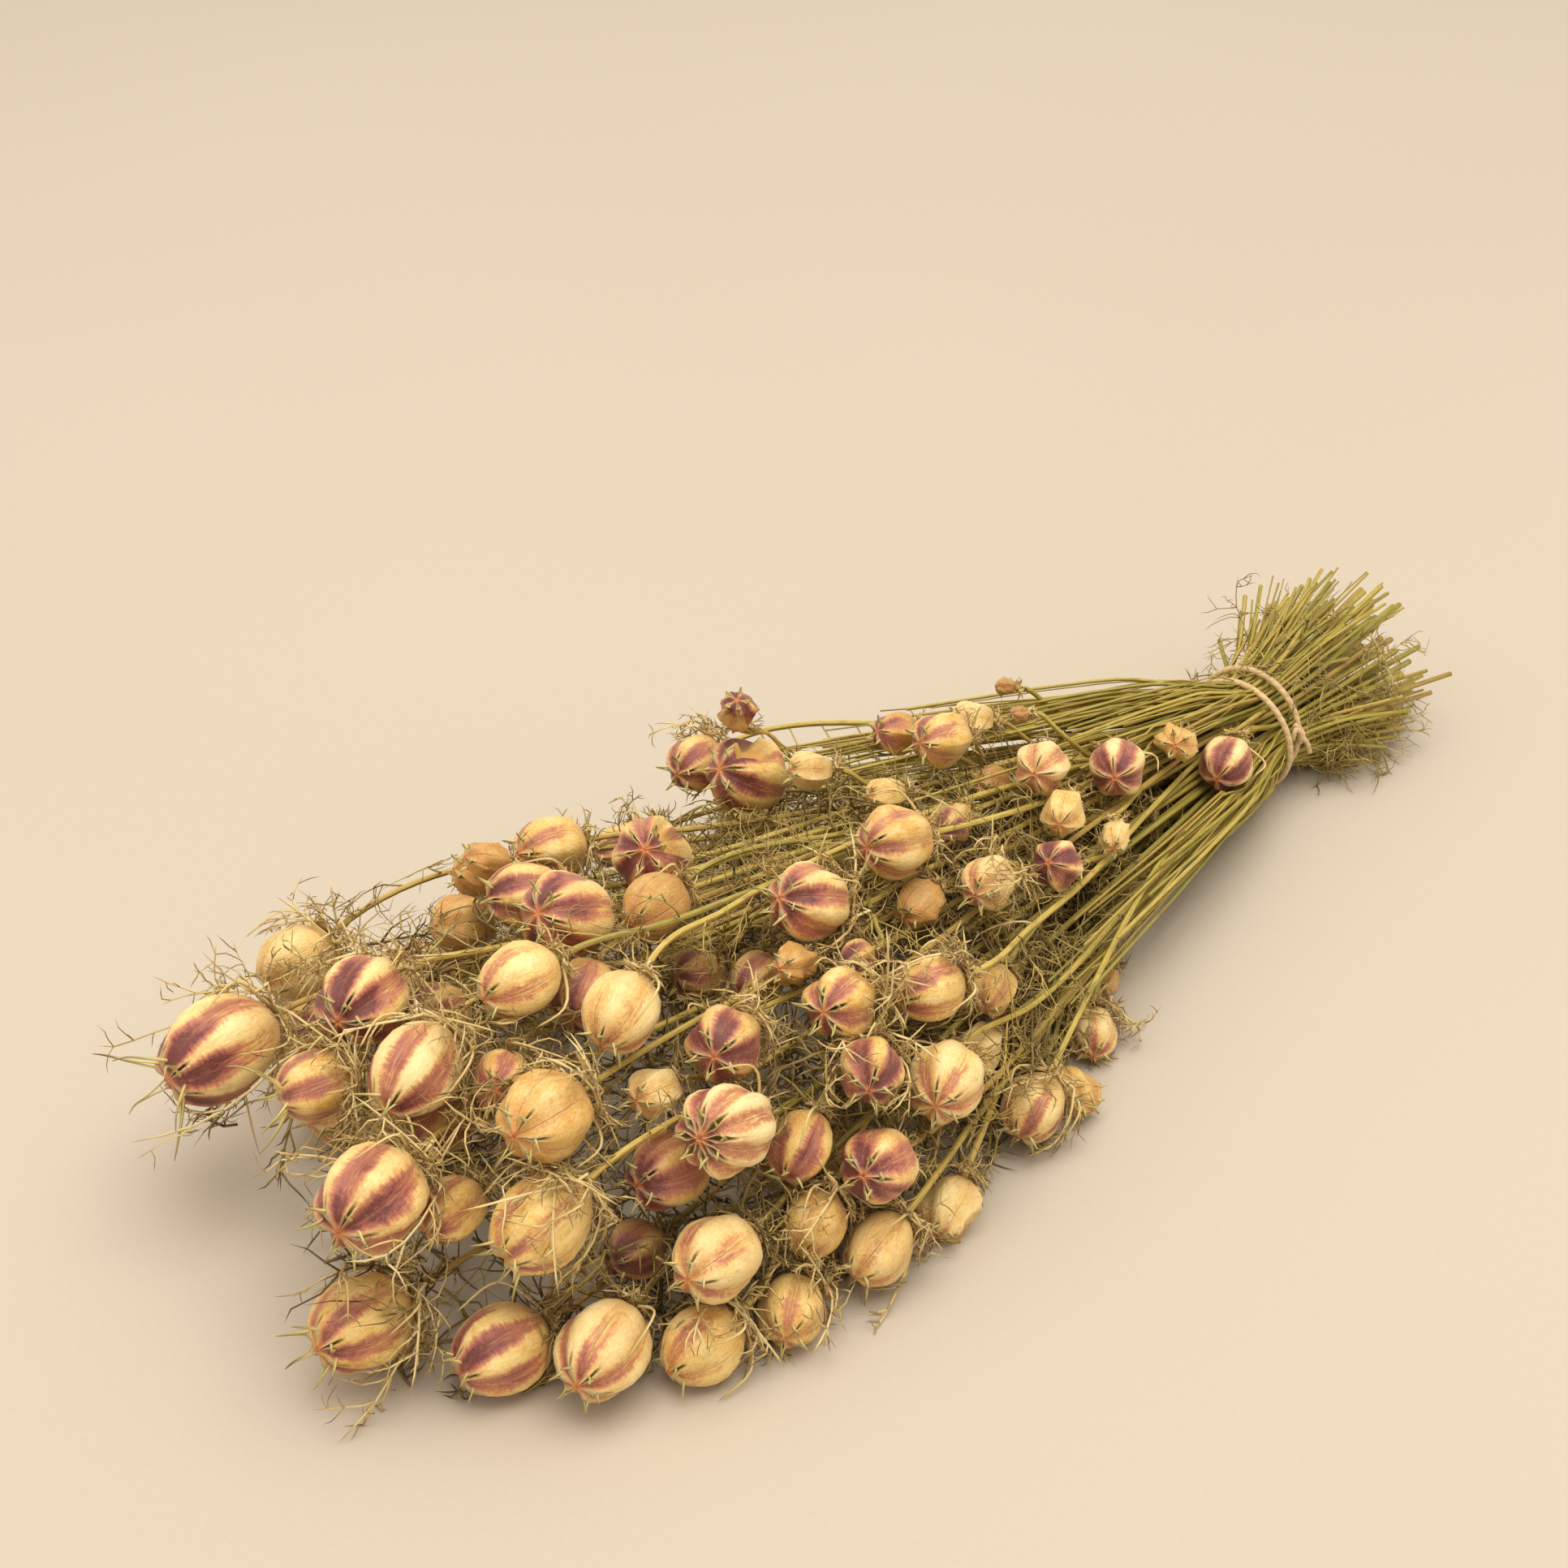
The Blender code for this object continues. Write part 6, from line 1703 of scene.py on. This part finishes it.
def tie_piece(spread, materials):
    """The twine: wound twice round the stems, closed on itself, with a small knot in front"""
    skin = Skin()
    ring = np.array(tie_way(spread, TIE_Z))
    closed = np.vstack([ring[-2:], ring, ring[:3]])
    fine = smooth_way(closed, TWINE_STEP)
    first = int(np.argmin(np.linalg.norm(fine - ring[0], axis=1)[:12]))
    last = len(fine) - 12 + int(np.argmin(np.linalg.norm(fine - ring[0], axis=1)[-12:]))
    fine = fine[first:last]
    n, sides = len(fine), TWINE_SIDES
    points, coords, lobe = [], [], []
    run = 0.0
    for i in range(n):
        tangent = unit(fine[(i + 1) % n] - fine[i - 1])
        outward = fine[i] - np.array([fine[i][0], TIE_Y, TIE_Z])
        e1 = unit(outward - tangent * (outward @ tangent))
        e2 = np.cross(tangent, e1)
        run += np.linalg.norm(fine[i] - fine[i - 1]) if i else 0
        for k in range(sides):
            a = 2 * math.pi * k / sides
            points.append(fine[i] + (e1 * math.cos(a) + e2 * math.sin(a)) * TIE_RADIUS)
            coords.append([math.cos(a), math.sin(a), run / 0.0035])
            lobe.append([k / sides if k <= sides / 2 else 1 - k / sides, 0, 0])
    points = np.array(points)
    points[:, 2] = np.maximum(points[:, 2], 0.0)
    skin.add(points, [ring_faces(n, sides, closed=True)], 0, skin=np.array(coords), lobe=np.array(lobe))
    for loop in knot_ways(spread):
        way = smooth_way(loop, KNOT_STEP)
        rings, _ = tube_rings(way, KNOT_SIDES)
        count = len(way)
        body = (way[:, None, :] + rings * (TIE_RADIUS * 0.8)).reshape(-1, 3)
        k = np.arange(KNOT_SIDES)
        around = np.tile(np.abs(k / KNOT_SIDES - 0.5), count)
        coords = np.stack([np.tile(np.cos(k * 0.785), count), np.tile(np.sin(k * 0.785), count),
                           np.repeat(np.arange(count) * 0.35, KNOT_SIDES)], axis=1)
        lobe = np.stack([around, around * 0, around * 0], axis=1)
        skin.add(np.vstack([body, way[:1], way[-1:]]),
                 [ring_faces(count, KNOT_SIDES), end_caps(count, KNOT_SIDES)], 0,
                 skin=np.vstack([coords, coords[:1], coords[-1:]]), lobe=np.vstack([lobe, np.zeros((2, 3))]))
    piece = skin.make("twine_tie", materials)
    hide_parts("tie_band")
    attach(piece, "root")


def knot_ways(spread):
    """A small loop, a strand across it and one short end of the twine, on the near side of the ring"""
    _, look, _, _, _ = view()
    side = unit(np.array([0.0, -look[1], -look[2]]) + [0, -0.25, -0.35])
    across = np.array([0.0, -side[2], side[1]])
    x = np.array([1.0, 0.0, 0.0])
    at = np.array([TIE_X + 0.002, TIE_Y, TIE_Z]) + side * (spread + 0.0016)
    turn = [at + (across * math.cos(a) + x * math.sin(a)) * 0.0026 + side * 0.0008 * math.sin(2 * a)
            for a in np.linspace(0, 5.4, 7)]
    bar = [at - across * 0.004 - x * 0.001, at + side * 0.0016, at + across * 0.004 + x * 0.001]
    end = [at + side * 0.0006, at + across * 0.004 + side * 0.002 + x * 0.002,
           at + across * 0.009 + side * 0.0012 + x * 0.004]
    return [turn, bar, end]


def stage_and_light():
    """Pale floor, one large soft lamp above, a weaker one from the side, and a warm surround"""
    mesh = bpy.data.meshes.new("floor")
    s = FLOOR_HALF
    mesh.from_pydata([(-s, -s, 0), (s, -s, 0), (s, s, 0), (-s, s, 0)], [], [(0, 1, 2, 3)])
    floor = bpy.data.objects.new("floor", mesh)
    bpy.context.scene.collection.objects.link(floor)
    floor.data.materials.append(floor_material())
    world = bpy.data.worlds.new("studio")
    bpy.context.scene.world = world
    world.use_nodes = True
    back = world.node_tree.nodes["Background"]
    back.inputs["Color"].default_value = SURROUND_TINT
    back.inputs["Strength"].default_value = SURROUND
    for name, place, size, power, colour in LAMPS:
        data = bpy.data.lights.new(name, "AREA")
        data.shape = "DISK"
        data.size = size
        data.energy = power
        data.color = colour
        lamp = bpy.data.objects.new(name, data)
        bpy.context.scene.collection.objects.link(lamp)
        lamp.location = place
        lamp.rotation_euler = (Vector((0.0, 0.0, 0.02)) - Vector(place)).to_track_quat("-Z", "Y").to_euler()


def photo_camera():
    """The camera of the view"""
    eye, look, _, _, _ = view()
    data = bpy.data.cameras.new("camera")
    data.sensor_fit = "HORIZONTAL"
    data.angle = VIEW_ANGLE
    camera = bpy.data.objects.new("camera", data)
    bpy.context.scene.collection.objects.link(camera)
    camera.location = Vector(eye)
    camera.rotation_euler = Vector(look).to_track_quat("-Z", "Y").to_euler()
    bpy.context.scene.camera = camera


def dress(low, high):
    """All the pieces of the bunch"""
    pods, eye = place_pods()
    settle_pods(pods, eye)
    stems = lay_stems(pods)
    space = Space()
    outer = fill_space(stems, space)
    spread = outer + STEM_RADIUS + GAP + TIE_RADIUS
    ring = tie_way(spread, TIE_Z)
    for a, b in zip(ring, ring[1:] + ring[:1]):
        space.add(a, b, TIE_RADIUS, -1)
    draws = random.Random(DETAIL_SEED)
    everything = [(k, item) for k, stem in enumerate(stems) for item in [stem] + stem["shoots"]]
    for k, item in everything:
        item["horns"] = pod_horns(item["pod"], space, k, draws)
    for k, item in everything:
        count = THREADS[item["pod"]["kind"]]
        if item is not stems[k]:
            count = min(count - 1, 1)
        item["threads"] = pod_threads(item["pod"], count, space, k, draws)
    box_low = np.array(low) + [-BOX_SLACK, -BOX_SLACK, 0.0005]
    box_high = np.array(high) + BOX_SLACK
    room = Room(pods, box_low, box_high)
    rng = np.random.default_rng(LOOK_SEED)
    materials = [skin_material(), stalk_material(), thread_material(), horn_material()]
    for k, stem in enumerate(stems):
        piece = stem_piece(f"pods_{k + 1:02d}", stem, room, materials, rng)
        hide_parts(f"stem_{k + 1:02d}")
    foliage_pieces(stems, room, materials, rng)
    inner_tangle(stems, room, materials, rng)
    loose_ends(spread, room, materials, rng)
    tie_piece(spread, [tie_material()])


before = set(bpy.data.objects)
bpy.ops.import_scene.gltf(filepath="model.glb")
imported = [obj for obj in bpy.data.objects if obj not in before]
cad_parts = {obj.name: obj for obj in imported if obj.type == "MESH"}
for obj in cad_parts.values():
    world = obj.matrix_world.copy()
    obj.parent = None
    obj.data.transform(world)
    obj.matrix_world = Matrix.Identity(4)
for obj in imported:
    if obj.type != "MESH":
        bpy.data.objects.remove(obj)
bpy.context.scene.view_settings.view_transform = "Standard"
cad_low, cad_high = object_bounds()
photo_camera()
stage_and_light()
dress(cad_low, cad_high)
bpy.context.view_layer.update()
